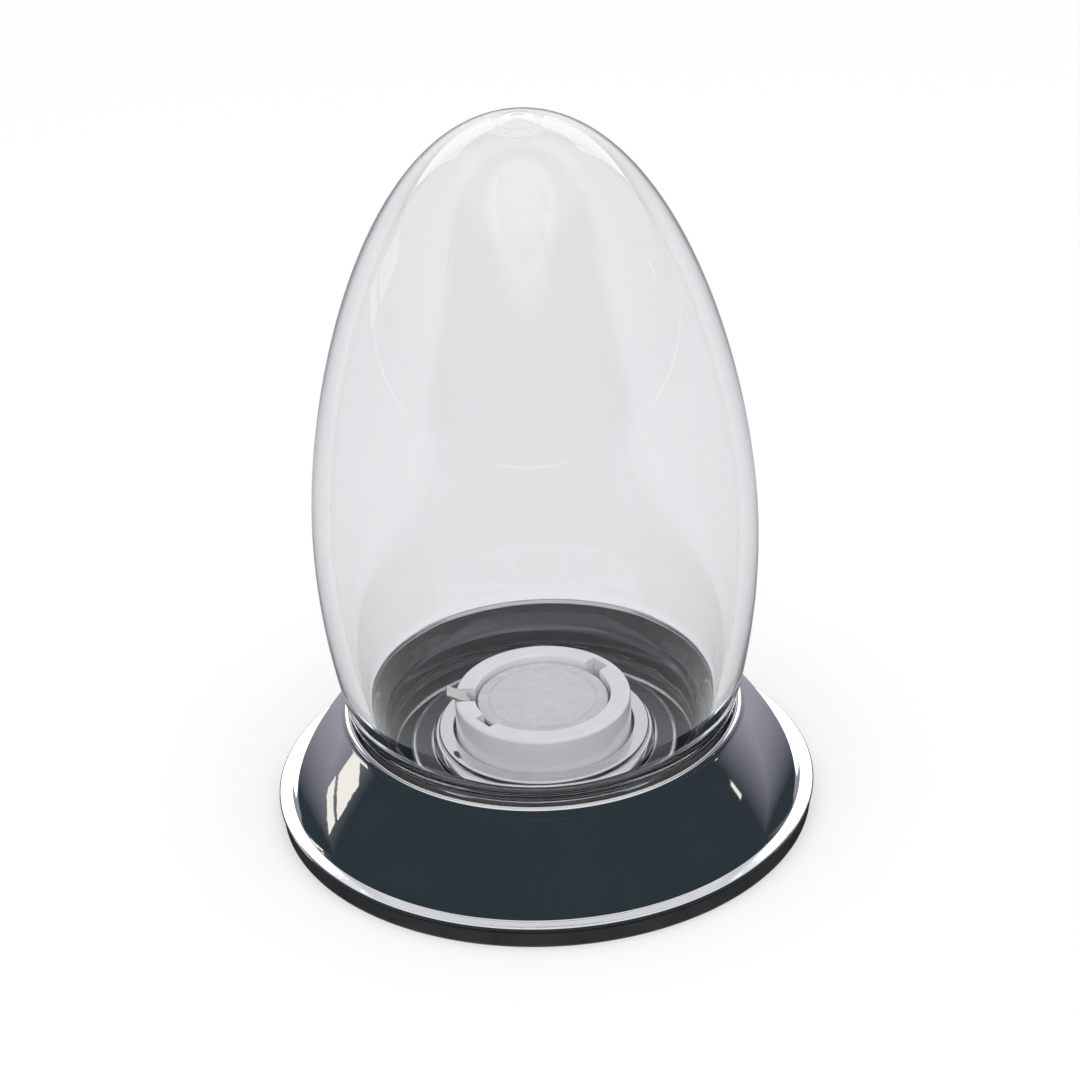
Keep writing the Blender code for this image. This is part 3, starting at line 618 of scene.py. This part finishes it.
# ------------------------------------------------------------------------------ base and globe
def housing_profile():
    inner_foot_r = SKIRT_FOOT[0] - WALL
    cup_r = BORE_R + WALL
    crown_z = SEAL_SEAT_Z - WALL - 2 * GAP
    lip = (SKIRT_TOP[0] - LIP_R, SKIRT_TOP[1] + 0.1 * MM)
    brim_top = BASE_Z + 2 * BRIM_R
    outside = arc(lip, LIP_R, 175, 22, 12)
    outside += bowed(SKIRT_TOP, SKIRT_FOOT, SKIRT_BULGE, 24)
    outside += arc((SKIRT_FOOT[0] + 0.18 * MM, brim_top + 0.15 * MM), 0.15 * MM, 200, 270, 6)
    outside += arc((FLANGE_R - BRIM_R, BASE_Z + BRIM_R), BRIM_R, 90, -90, 14)
    under = rounded([
        (inner_foot_r, BASE_Z, 0.2 * MM),
        (inner_foot_r, SKIRT_FOOT[1], 0.8 * MM),
        (cup_r + GAP + WALL / 2, crown_z, 0.5 * MM),
        (cup_r + GAP, crown_z, 0),
        (cup_r, crown_z - WALL / 2, 0),
        (cup_r, FLOOR_UNDER_Z, WALL / 2),
        (FLOOR_HOLE_R, FLOOR_UNDER_Z, 0.1 * MM),
        (FLOOR_HOLE_R, FLOOR_Z, 0.1 * MM),
        (BORE_R, FLOOR_Z, WALL / 2),
        (BORE_R, SEAL_SEAT_Z, BORE_EDGE),
        (SEAL_SEAT_R, SEAL_SEAT_Z, 0.1 * MM),
        (SEAL_SEAT_R, SKIRT_TOP[1], 0),
    ])
    rows = []
    for point, after in zip(under, under[1:] + [None]):
        rows.append(point)
        if after and abs(point[0] - BORE_R) < 1e-6 and abs(after[0] - BORE_R) < 1e-6:
            rows += straight(point, after, 40)
    return outside + rows


def make_housing():
    groove = helix_relief(-THREAD_LEAD, GROOVE_TURNS, THREAD_R + GAP, 1)

    def relief(angle, radius, height):
        threaded = -1e-6 < radius - BORE_R < BORE_EDGE + 1e-6
        return groove(angle, radius, height) if threaded else 0.0
    housing = lathe("housing", housing_profile(), RINGS, relief)
    bosses = [round_bar("boss", BOSS_R, BASE_Z, BOSS_TOP_Z, at) for at in boss_places()]
    carve(housing, bosses, "UNION")
    taps = [round_bar("tap", TAP_R, BASE_Z - TAP_DEPTH, BASE_Z + TAP_DEPTH, at)
            for at in boss_places()]
    carve(housing, taps)
    stand_for(housing, "base_housing")


def make_gasket():
    edge = 0.25 * MM
    gasket = lathe("gasket", rounded([
        (GASKET_R, GASKET_T, edge),
        (GASKET_R, 0.0, edge),
        (GASKET_HOLE_R, 0.0, edge),
        (GASKET_HOLE_R, GASKET_T, edge),
    ]))
    carve(gasket, [round_bar("hole", SCREW_CLEARANCE_R, -GASKET_T, 2 * GASKET_T, at)
                   for at in boss_places()])
    stand_for(gasket, "base_gasket")


def globe_side(radius, foot, steps):
    drop = GLOBE_WIDE_Z - foot[1]
    inset = radius - foot[0]
    bend = (drop * drop + inset * inset) / (2 * inset)
    return arc((radius - bend, GLOBE_WIDE_Z), bend, 0, -math.degrees(math.asin(drop / bend)), steps)


def globe_profile():
    wide = GLOBE_R - GLOBE_WALL
    top = GLOBE_TOP_Z - GLOBE_WALL
    share = wide / GLOBE_R
    neck_inner = NECK_R - NECK_WALL
    crown = bezier((0.0, GLOBE_TOP_Z), (GLOBE_SPREAD, GLOBE_TOP_Z),
                   (GLOBE_R, GLOBE_WIDE_Z + GLOBE_RISE), (GLOBE_R, GLOBE_WIDE_Z), 72)
    pip_foot = next(i for i, point in enumerate(crown) if point[0] > PIP_R)
    pip = [(PIP_R * i / 14, GLOBE_TOP_Z + PIP_H * math.cos(math.pi * i / 28) ** 2)
           for i in range(14)]
    outside = pip + crown[pip_foot:]
    outside += globe_side(GLOBE_R, GLOBE_FOOT, 24)[1:]
    edge = 0.4 * MM
    neck = [(NECK_R, SHOULDER[1])] + straight((NECK_R, SHOULDER[1]), (NECK_R, NECK_Z + edge), 44)
    foot = arc((SHOULDER[0] - edge, SHOULDER[1] + edge), edge, 0, -90, 5) + neck
    foot += arc((NECK_R - edge, NECK_Z + edge), edge, 0, -90, 5)
    foot += arc((neck_inner + edge, NECK_Z + edge), edge, -90, -180, 5)
    foot += bezier((neck_inner, SHOULDER[1] - 0.8 * MM), (neck_inner, SHOULDER[1] + 0.4 * MM),
                   (GLOBE_INNER_FOOT[0] - 0.4 * MM, GLOBE_INNER_FOOT[1] - 0.9 * MM),
                   GLOBE_INNER_FOOT, 10)[:-1]
    inner_side = globe_side(wide, GLOBE_INNER_FOOT, 24)
    inner_crown = bezier((wide, GLOBE_WIDE_Z), (wide, GLOBE_WIDE_Z + GLOBE_RISE * share),
                         (GLOBE_SPREAD * share, top), (0.0, top), 60)
    return outside + foot + inner_side[::-1] + inner_crown[1:]


def make_globe():
    ridge = helix_relief(0.0, THREAD_TURNS, THREAD_R, 1)

    def relief(angle, radius, height):
        on_neck = abs(radius - NECK_R) < 1e-6 and height < SHOULDER[1] - GAP
        return ridge(angle, radius, height) if on_neck else 0.0
    globe = lathe("globe_shell", globe_profile(), RINGS, relief, sharp=50)
    globe.visible_shadow = False
    stand_for(globe, "globe")


def make_seal():
    centre = (SEAL_CENTRE_R, SEAL_SEAT_Z + GAP + SEAL_R)
    stand_for(lathe("seal", arc(centre, SEAL_R, 90, -270, 20)[:-1]), "globe_seal")


# -------------------------------------------------------------------------------- lamp holder
def make_drum():
    bottom = FLOOR_Z + GAP
    stand_for(lathe("drum", rounded([
        (FLOOR_HOLE_R, DRUM_TOP_Z, 0.1 * MM),
        (DRUM_R, DRUM_TOP_Z, 0.45 * MM),
        (DRUM_R, bottom, 0.1 * MM),
        (DRUM_R - DRUM_WALL, bottom, 0),
        (DRUM_R - DRUM_WALL, DRUM_TOP_Z - DRUM_WALL, 0.3 * MM),
        (FLOOR_HOLE_R, DRUM_TOP_Z - DRUM_WALL, 0),
    ])), "lamp_drum")


def make_ring():
    bottom = DRUM_TOP_Z + GAP
    inner = HOLDER_R + GAP
    stand_for(lathe("ring", rounded([
        (inner, RING_TOP_Z, 0.12 * MM),
        (RING_STEP_R, RING_TOP_Z, 0.3 * MM),
        (RING_STEP_R, RING_STEP_Z, 0.08 * MM),
        (RING_STEP_R + 0.3 * MM, RING_STEP_Z, 0.1 * MM),
        (RING_R, bottom + 0.3 * MM, 0.1 * MM),
        (RING_R, bottom, 0),
        (inner, bottom, 0),
    ]), FINE), "holder_ring")


def slot_tools(angle):
    width = 2 * (PIN_R + GAP)
    low = PIN_Z - PUSH - PIN_R - GAP
    high = PIN_Z + PIN_R + GAP
    inner = HOLDER_BORE_R - GAP
    outer = PIN_OUTER + GAP
    mouth = block("mouth", (inner, -width / 2, low), (outer, width / 2, HOLDER_TOP_Z + GAP),
                  angle + TURN_ANGLE)
    spare = math.degrees(math.asin((PIN_R + GAP) / HOLDER_BORE_R))
    first = math.degrees(angle) - spare
    last = math.degrees(angle + TURN_ANGLE) + spare
    outline = arc((0.0, 0.0), outer, first, last, 24) + arc((0.0, 0.0), inner, last, first, 24)
    return [mouth, prism("leg", [outline], low, high)]


def make_holder():
    edge = 0.35 * MM
    flange_top = FLOOR_UNDER_Z - GAP
    holder = lathe("holder", rounded([
        (HOLDER_BORE_R, HOLDER_TOP_Z, edge * 0.8),
        (HOLDER_R, HOLDER_TOP_Z, edge * 1.4),
        (HOLDER_R, flange_top, 0.1 * MM),
        (HOLDER_FLANGE_R, flange_top, 0.2 * MM),
        (HOLDER_FLANGE_R, HOLDER_BOTTOM_Z, 0.1 * MM),
        (HOLDER_BORE_R, HOLDER_BOTTOM_Z, 0.1 * MM),
    ]), FINE)
    tools = [tool for angle in PIN_ANGLES for tool in slot_tools(angle)]
    half = STRIP_W / 2 + GAP
    channel = HOLDER_BORE_R + STRIP_T * 3 / 2 + 2 * GAP
    low = HOLDER_BOTTOM_Z - GAP
    top = HOLDER_TOP_Z + GAP
    tools.append(block("channel", (-channel, -half, low), (-HOLDER_BORE_R + GAP, half, top)))
    tools.append(block("notch", (-HOLDER_R - GAP, -half, HOLDER_TOP_Z - 0.8 * MM),
                       (-HOLDER_BORE_R + GAP, half, top)))
    tools += [round_bar("hole", BASE_SCREW_R + GAP, low, flange_top - GAP, (0.0, side), 24)
              for side in (BASE_SCREW_AT, -BASE_SCREW_AT)]
    stand_for(carve(holder, tools), "holder_body")


def make_holder_base():
    top = HOLDER_BOTTOM_Z - GAP
    base = lathe("closer", rounded([
        (HOLDER_FLANGE_R, top, 0.35 * MM),
        (HOLDER_FLANGE_R, HOLDER_BASE_Z, 0.2 * MM),
        (STEM_R + GAP, HOLDER_BASE_Z, 0.1 * MM),
        (STEM_R + GAP, WELL_Z, 0),
        (WELL_R, WELL_Z, 0),
        (WELL_R, top, 0.1 * MM),
    ]), FINE)
    half = TAG_W / 2 + GAP
    beyond = HOLDER_FLANGE_R + GAP
    groove_z = WELL_Z + GAP / 2
    tools = [block("live", (WELL_R / 2, -half, groove_z), (beyond, half, HOLDER_BOTTOM_Z)),
             block("back", (-beyond, -half, groove_z), (-WELL_R * 2, half, HOLDER_BOTTOM_Z))]
    for side in (BASE_SCREW_AT, -BASE_SCREW_AT):
        tools.append(round_bar("hole", BASE_SCREW_R + GAP, HOLDER_BASE_Z - GAP, HOLDER_BOTTOM_Z,
                               (0.0, side), 24))
        tools.append(round_bar("recess", BASE_SCREW_HEAD_R + GAP, HOLDER_BASE_Z - GAP,
                               WELL_Z + GAP, (0.0, side), 32))
    stand_for(carve(base, tools), "holder_base")


def make_base_screws():
    bottom = HOLDER_BASE_Z + 0.1 * MM
    tip = FLOOR_UNDER_Z - 3 * GAP
    for i, side in enumerate((BASE_SCREW_AT, -BASE_SCREW_AT), start=1):
        profile = [(0.0, tip), (BASE_SCREW_R - 0.2 * MM, tip), (BASE_SCREW_R, tip - 0.2 * MM),
                   (BASE_SCREW_R, WELL_Z), (BASE_SCREW_HEAD_R, WELL_Z)]
        profile += arc((BASE_SCREW_HEAD_R - 0.3 * MM, bottom + 0.3 * MM), 0.3 * MM, 0, -90, 6)
        profile += [(0.0, bottom)]
        screw = lathe(f"screw_{i}", profile, 40)
        slot = block("slot", (-BASE_SCREW_HEAD_R * 2, -0.2 * MM, HOLDER_BASE_Z - GAP),
                     (BASE_SCREW_HEAD_R * 2, 0.2 * MM, bottom + 0.2 * MM), 0.5 * i)
        carve(screw, [slot])
        screw.data.transform(Matrix.Translation((0.0, side, 0.0)))
        stand_for(screw, f"base_screw_{i}")


def make_live_tag():
    ring_r = WELL_R - GAP
    half = TAG_W / 2
    corner = math.degrees(math.asin(half / ring_r))
    nick = 0.4 * MM
    outline = arc((0.0, 0.0), ring_r, corner, 360 - corner, 48)
    outline += [(TAG_REACH - nick, -half), (TAG_REACH, -half + nick),
                (TAG_REACH, half - nick), (TAG_REACH - nick, half)]
    hole = arc((0.0, 0.0), STEM_R + 2 * GAP, 0, 360, 32)[:-1]
    tag_z = WELL_Z + GAP
    stand_for(prism("tag", [outline, hole], tag_z, tag_z + STRIP_T), "live_tag")


def make_return_strip():
    leg = HOLDER_BORE_R + GAP + STRIP_T
    tag_z = WELL_Z + GAP
    path = [
        (HOLDER_R + 3 * GAP, HOLDER_TOP_Z + 2 * GAP),
        (HOLDER_R - 0.4 * MM, HOLDER_TOP_Z),
        (leg + 0.4 * MM, HOLDER_TOP_Z - 0.3 * MM),
        (leg, HOLDER_TOP_Z - 0.8 * MM),
        (leg, tag_z + 0.8 * MM),
        (leg + 0.4 * MM, tag_z + STRIP_T),
        (TAG_REACH, tag_z + STRIP_T),
    ]
    half = STRIP_W / 2
    mesh = bpy.data.meshes.new("strip")
    verts = [(-radius, side * half, height) for side in (-1, 1) for radius, height in path]
    count = len(path)
    mesh.from_pydata(verts, [], [(i, i + 1, count + i + 1, count + i) for i in range(count - 1)])
    strip = bpy.data.objects.new("strip", mesh)
    bpy.context.scene.collection.objects.link(strip)
    thick = strip.modifiers.new("Thickness", "SOLIDIFY")
    thick.thickness = STRIP_T
    thick.offset = 0.0
    soft = strip.modifiers.new("Rounding", "BEVEL")
    soft.width = 0.06 * MM
    soft.segments = 3
    stand_for(strip, "return_strip")


def make_plunger():
    shelf = PLUNGER_TOP_Z - PLUNGER_HEAD_T
    end = WELL_Z - 0.2 * MM
    profile = [(0.0, PLUNGER_TOP_Z)]
    profile += arc((PLUNGER_R - 0.4 * MM, PLUNGER_TOP_Z - 0.4 * MM), 0.4 * MM, 90, 0, 6)
    profile += [(PLUNGER_R, shelf), (STEM_R, shelf)]
    profile += arc((STEM_R - 0.2 * MM, end + 0.2 * MM), 0.2 * MM, 0, -90, 5)
    profile += [(0.0, end)]
    stand_for(lathe("plunger", profile, 64), "contact_plunger")


def make_spring():
    low = WELL_Z + 2 * GAP + STRIP_T + WIRE_R
    high = PLUNGER_TOP_Z - PLUNGER_HEAD_T - GAP - WIRE_R
    steps = round(SPRING_TURNS * 48)
    points = []
    for i in range(steps + 1):
        angle = 2 * math.pi * i / 48
        points.append((*on_circle(SPRING_R, angle), low + (high - low) * i / steps))
    spring = stand_for(tube("coil", points, WIRE_R), "contact_spring")
    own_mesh(spring)


# ---------------------------------------------------------------------------------------- lamp
def lay_across(obj, angle):
    """Turn an upright piece to point outward at the pins' height."""
    obj.data.transform(Matrix.Translation((0.0, 0.0, PIN_Z)) @ Matrix.Rotation(angle, 4, "Z")
                       @ Matrix.Rotation(math.pi / 2, 4, "Y"))
    return obj


def make_lamp_shell():
    floor_t = LAMP_WALL + 0.1 * MM
    hole = LAMP_R / 2 + GAP
    shell = lathe("shell", rounded([
        (LAMP_R - LAMP_WALL, LAMP_SHELL_TOP_Z, 0),
        (LAMP_R, LAMP_SHELL_TOP_Z, 0.08 * MM),
        (LAMP_R, LAMP_Z, 0.4 * MM),
        (hole, LAMP_Z, 0.05 * MM),
        (hole, LAMP_Z + floor_t, 0),
        (LAMP_R - LAMP_WALL, LAMP_Z + floor_t, 0),
    ]), FINE)
    holes = [lay_across(round_bar("hole", PIN_R + GAP, PIN_INNER - GAP, PIN_OUTER,
                                  steps=PIN_STEPS), angle) for angle in PIN_ANGLES]
    carve(shell, holes)
    stand_for(shell, "lamp_shell")


def make_lamp_pins():
    edge = 0.15 * MM
    for i, angle in enumerate(PIN_ANGLES, start=1):
        profile = [(0.0, PIN_OUTER)]
        profile += arc((PIN_R - edge, PIN_OUTER - edge), edge, 90, 0, 5)
        profile += [(PIN_R, PIN_INNER), (0.0, PIN_INNER)]
        pin = lay_across(lathe(f"pin_{i}", profile, PIN_STEPS), angle)
        stand_for(pin, f"lamp_pin_{i}")


def make_lamp_bottom():
    stem = LAMP_R / 2
    shelf = LAMP_Z + LAMP_WALL + 0.1 * MM + GAP
    bottom = LAMP_Z - 2 * GAP
    profile = [(0.0, shelf + 2 * GAP), (stem + 0.8 * MM, shelf + 2 * GAP), (stem + 0.8 * MM, shelf),
               (stem, shelf)]
    profile += arc((stem - 0.2 * MM, bottom + 0.2 * MM), 0.2 * MM, 0, -90, 5) + [(0.0, bottom)]
    stand_for(lathe("plug", profile, 64), "lamp_insulator")
    low = PLUNGER_TOP_Z + GAP
    top = low + STRIP_T + 0.1 * MM
    solder = [(0.0, top), (1.8 * MM, top), (1.8 * MM, top - 0.2 * MM)]
    solder += bezier((1.7 * MM, top - 0.25 * MM), (1.4 * MM, low), (1.0 * MM, low), (0.0, low), 10)
    stand_for(lathe("solder", solder, 48), "lamp_contact")


def make_board():
    board_low, board_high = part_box("led_board")
    radius = board_high.x
    edge = 0.05 * MM
    stand_for(lathe("board", rounded([
        (0.0, board_high.z, 0), (radius, board_high.z, edge), (radius, board_low.z, edge),
        (0.0, board_low.z, 0)]), 96), "led_board")
    side = 1.8 * MM
    for i in range(3):
        low_z, high_z = (corner.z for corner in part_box(f"led_chip_{i + 1}"))
        chip = block(f"chip_{i}", (side, -side / 2, low_z), (2 * side, side / 2, high_z),
                     math.radians(90) + 2 * math.pi * i / 3, 0.08 * MM)
        stand_for(chip, f"led_chip_{i + 1}")


def make_lens():
    seat = LAMP_SHELL_TOP_Z + GAP
    spigot = LAMP_R - LAMP_WALL - GAP
    edge = 0.2 * MM
    profile = []
    inner, outer, depth = LENS_LINE
    for radius, height in dome(LENS_EDGE_Z + LENS_CROWN, LENS_CROWN, LAMP_R - edge, 110):
        across = (radius - inner) / (outer - inner)
        sunk = depth * math.sin(math.pi * across) ** 2 if 0 < across < 1 else 0.0
        profile.append((radius, height - sunk))
    profile += arc((LAMP_R - edge, LENS_EDGE_Z - edge), edge, 75, 0, 5)
    profile += [(LAMP_R, seat), (spigot, seat), (spigot, seat - 2 * GAP), (0.0, seat - 2 * GAP)]
    stand_for(lathe("lens", profile, FINE, sharp=40), "lamp_lens")


# --------------------------------------------------------------------------------------- studio
def emitter(name, strength, colour=(1.0, 1.0, 1.0)):
    mat = bpy.data.materials.new(name)
    mat.use_nodes = True
    tree = mat.node_tree
    tree.nodes.clear()
    glow = tree.nodes.new("ShaderNodeEmission")
    out = tree.nodes.new("ShaderNodeOutputMaterial")
    glow.inputs["Color"].default_value = (*colour, 1.0)
    glow.inputs["Strength"].default_value = strength
    tree.links.new(glow.outputs["Emission"], out.inputs["Surface"])
    return mat


def seen_only(obj, *kinds):
    """Limit which rays meet a stage object."""
    for kind in ("camera", "diffuse", "glossy", "transmission", "volume_scatter", "shadow"):
        setattr(obj, "visible_" + kind, kind in kinds)


def make_floor():
    mat, tree, shader = start("studio_floor")
    shader.inputs["Base Color"].default_value = (0.30, 0.30, 0.30, 1.0)
    shader.inputs["Roughness"].default_value = 0.9
    shader.inputs["Specular IOR Level"].default_value = 0.0
    shader.inputs["Emission Color"].default_value = (1.0, 1.0, 1.0, 1.0)
    shader.inputs["Emission Strength"].default_value = 0.46
    floor = round_bar("floor", 3.0, -0.01, 0.0, (0.0, 0.0), 64)
    floor.data.materials.append(mat)
    floor.location.z = cad_box[0].z


def card(name, radius, az, el, mat, kind):
    """A curved card round the origin, between two azimuths and two elevations in degrees."""
    rows, columns = 12, 32
    verts = []
    for i in range(rows + 1):
        e = math.radians(el[0] + (el[1] - el[0]) * i / rows)
        for k in range(columns + 1):
            a = math.radians(az[0] + (az[1] - az[0]) * k / columns)
            verts.append((radius * math.sin(a) * math.cos(e), -radius * math.cos(a) * math.cos(e),
                          radius * math.sin(e)))
    faces = []
    for i in range(rows):
        for k in range(columns):
            a = i * (columns + 1) + k
            faces.append((a, a + 1, a + columns + 2, a + columns + 1))
    mesh = bpy.data.meshes.new(name)
    mesh.from_pydata(verts, [], faces)
    obj = show(name, mesh)
    mesh.materials.append(mat)
    seen_only(obj, kind)


def surround_finish(name, dark, side, back):
    """Glow that goes from dark on the camera's side, round by the sides, to pale at the back."""
    mat = emitter(name, 1.0)
    tree = mat.node_tree
    unit = tree.nodes.new("ShaderNodeVectorMath")
    unit.operation = "NORMALIZE"
    tree.links.new(place(tree, (1, 1, 0)), unit.inputs[0])
    behind = parts_of(tree, unit.outputs["Vector"])["Y"]
    height = parts_of(tree, place(tree))["Z"]
    round_sides = blend_colours(tree, between(tree, behind, 0, 1, (0.22, 0.72)), dark, side)
    to_back = blend_colours(tree, between(tree, behind, 0, 1, (0.82, 0.97)), round_sides, back)
    to_top = blend_colours(tree, between(tree, height, 0, 1, (0.55, 0.65)), to_back, (0.9, 0.9, 0.9))
    glow = next(node for node in tree.nodes if node.type == "EMISSION")
    tree.links.new(to_top, glow.inputs["Color"])
    return mat


def ground_card(name, low, high, lift, mat, kind):
    """A flat patch just over the floor, between two corners."""
    patch = block(name, (*low, lift), (*high, lift + 0.02 * MM))
    patch.data.materials.append(mat)
    seen_only(patch, kind)


def make_studio():
    world = bpy.data.worlds.new("studio")
    world.use_nodes = True
    world.node_tree.nodes["Background"].inputs["Color"].default_value = (1.0, 1.0, 1.0, 1.0)
    world.node_tree.nodes["Background"].inputs["Strength"].default_value = 0.9
    bpy.context.scene.world = world
    dark, lilac = (0.030, 0.042, 0.050), (0.36, 0.34, 0.40)
    walls = surround_finish("wall_cards", dark, lilac, (0.9, 0.9, 0.92))
    card("wall_card", 0.8, (-180, 180), (-1, 58), walls, "glossy")
    ground = surround_finish("ground_cards", dark, lilac, (0.55, 0.54, 0.58))
    ground_card("ground_card", (-0.7, -0.7), (0.7, 0.7), 0.3 * MM, ground, "glossy")
    cream = emitter("cream_card", 1.0, (1.05, 1.02, 0.92))
    card("cream_high", 0.7, (-122, -108), (4, 13), cream, "glossy")
    card("cream_low", 0.7, (-123, -109), (-0.5, 2.8), cream, "glossy")
    card("cream_dot", 0.7, (101, 103), (10, 14), cream, "glossy")
    card("back_glow", 0.78, (135, 225), (14, 38), emitter("back_glow", 1.9), "glossy")
    card("key_card", 0.9, (-180, 180), (55, 88), emitter("key_card", 3.0), "diffuse")
    card("fill_card", 0.88, (-60, 60), (15, 55), emitter("fill_card", 2.6), "diffuse")


def make_camera():
    """A long lens that looks down, with a small roll."""
    sight = Vector((0.0, math.cos(CAMERA_DOWN), -math.sin(CAMERA_DOWN)))
    look = sight.to_track_quat("-Z", "Y").to_matrix() @ Matrix.Rotation(CAMERA_ROLL, 3, "Z")
    right, up = look.col[0], look.col[1]
    camera = bpy.data.objects.new("camera", bpy.data.cameras.new("camera"))
    bpy.context.scene.collection.objects.link(camera)
    camera.location = (CAMERA_AIM - sight * CAMERA_DISTANCE + right * CAMERA_ASIDE
                       + up * CAMERA_UP)
    camera.rotation_euler = look.to_euler()
    camera.data.sensor_width = SENSOR
    camera.data.lens = SENSOR * CAMERA_DISTANCE / PICTURE_WIDTH
    camera.data.clip_start = 0.01
    camera.data.clip_end = 20.0
    bpy.context.scene.camera = camera


def build():
    make_housing()
    make_gasket()
    make_globe()
    make_seal()
    make_drum()
    make_ring()
    make_holder()
    make_holder_base()
    make_base_screws()
    make_live_tag()
    make_return_strip()
    make_plunger()
    make_spring()
    make_lamp_shell()
    make_lamp_pins()
    make_lamp_bottom()
    make_board()
    make_lens()
    make_floor()
    make_studio()
    make_camera()
    scene = bpy.context.scene
    scene.view_settings.view_transform = "Standard"
    scene.cycles.use_denoising = True


build()
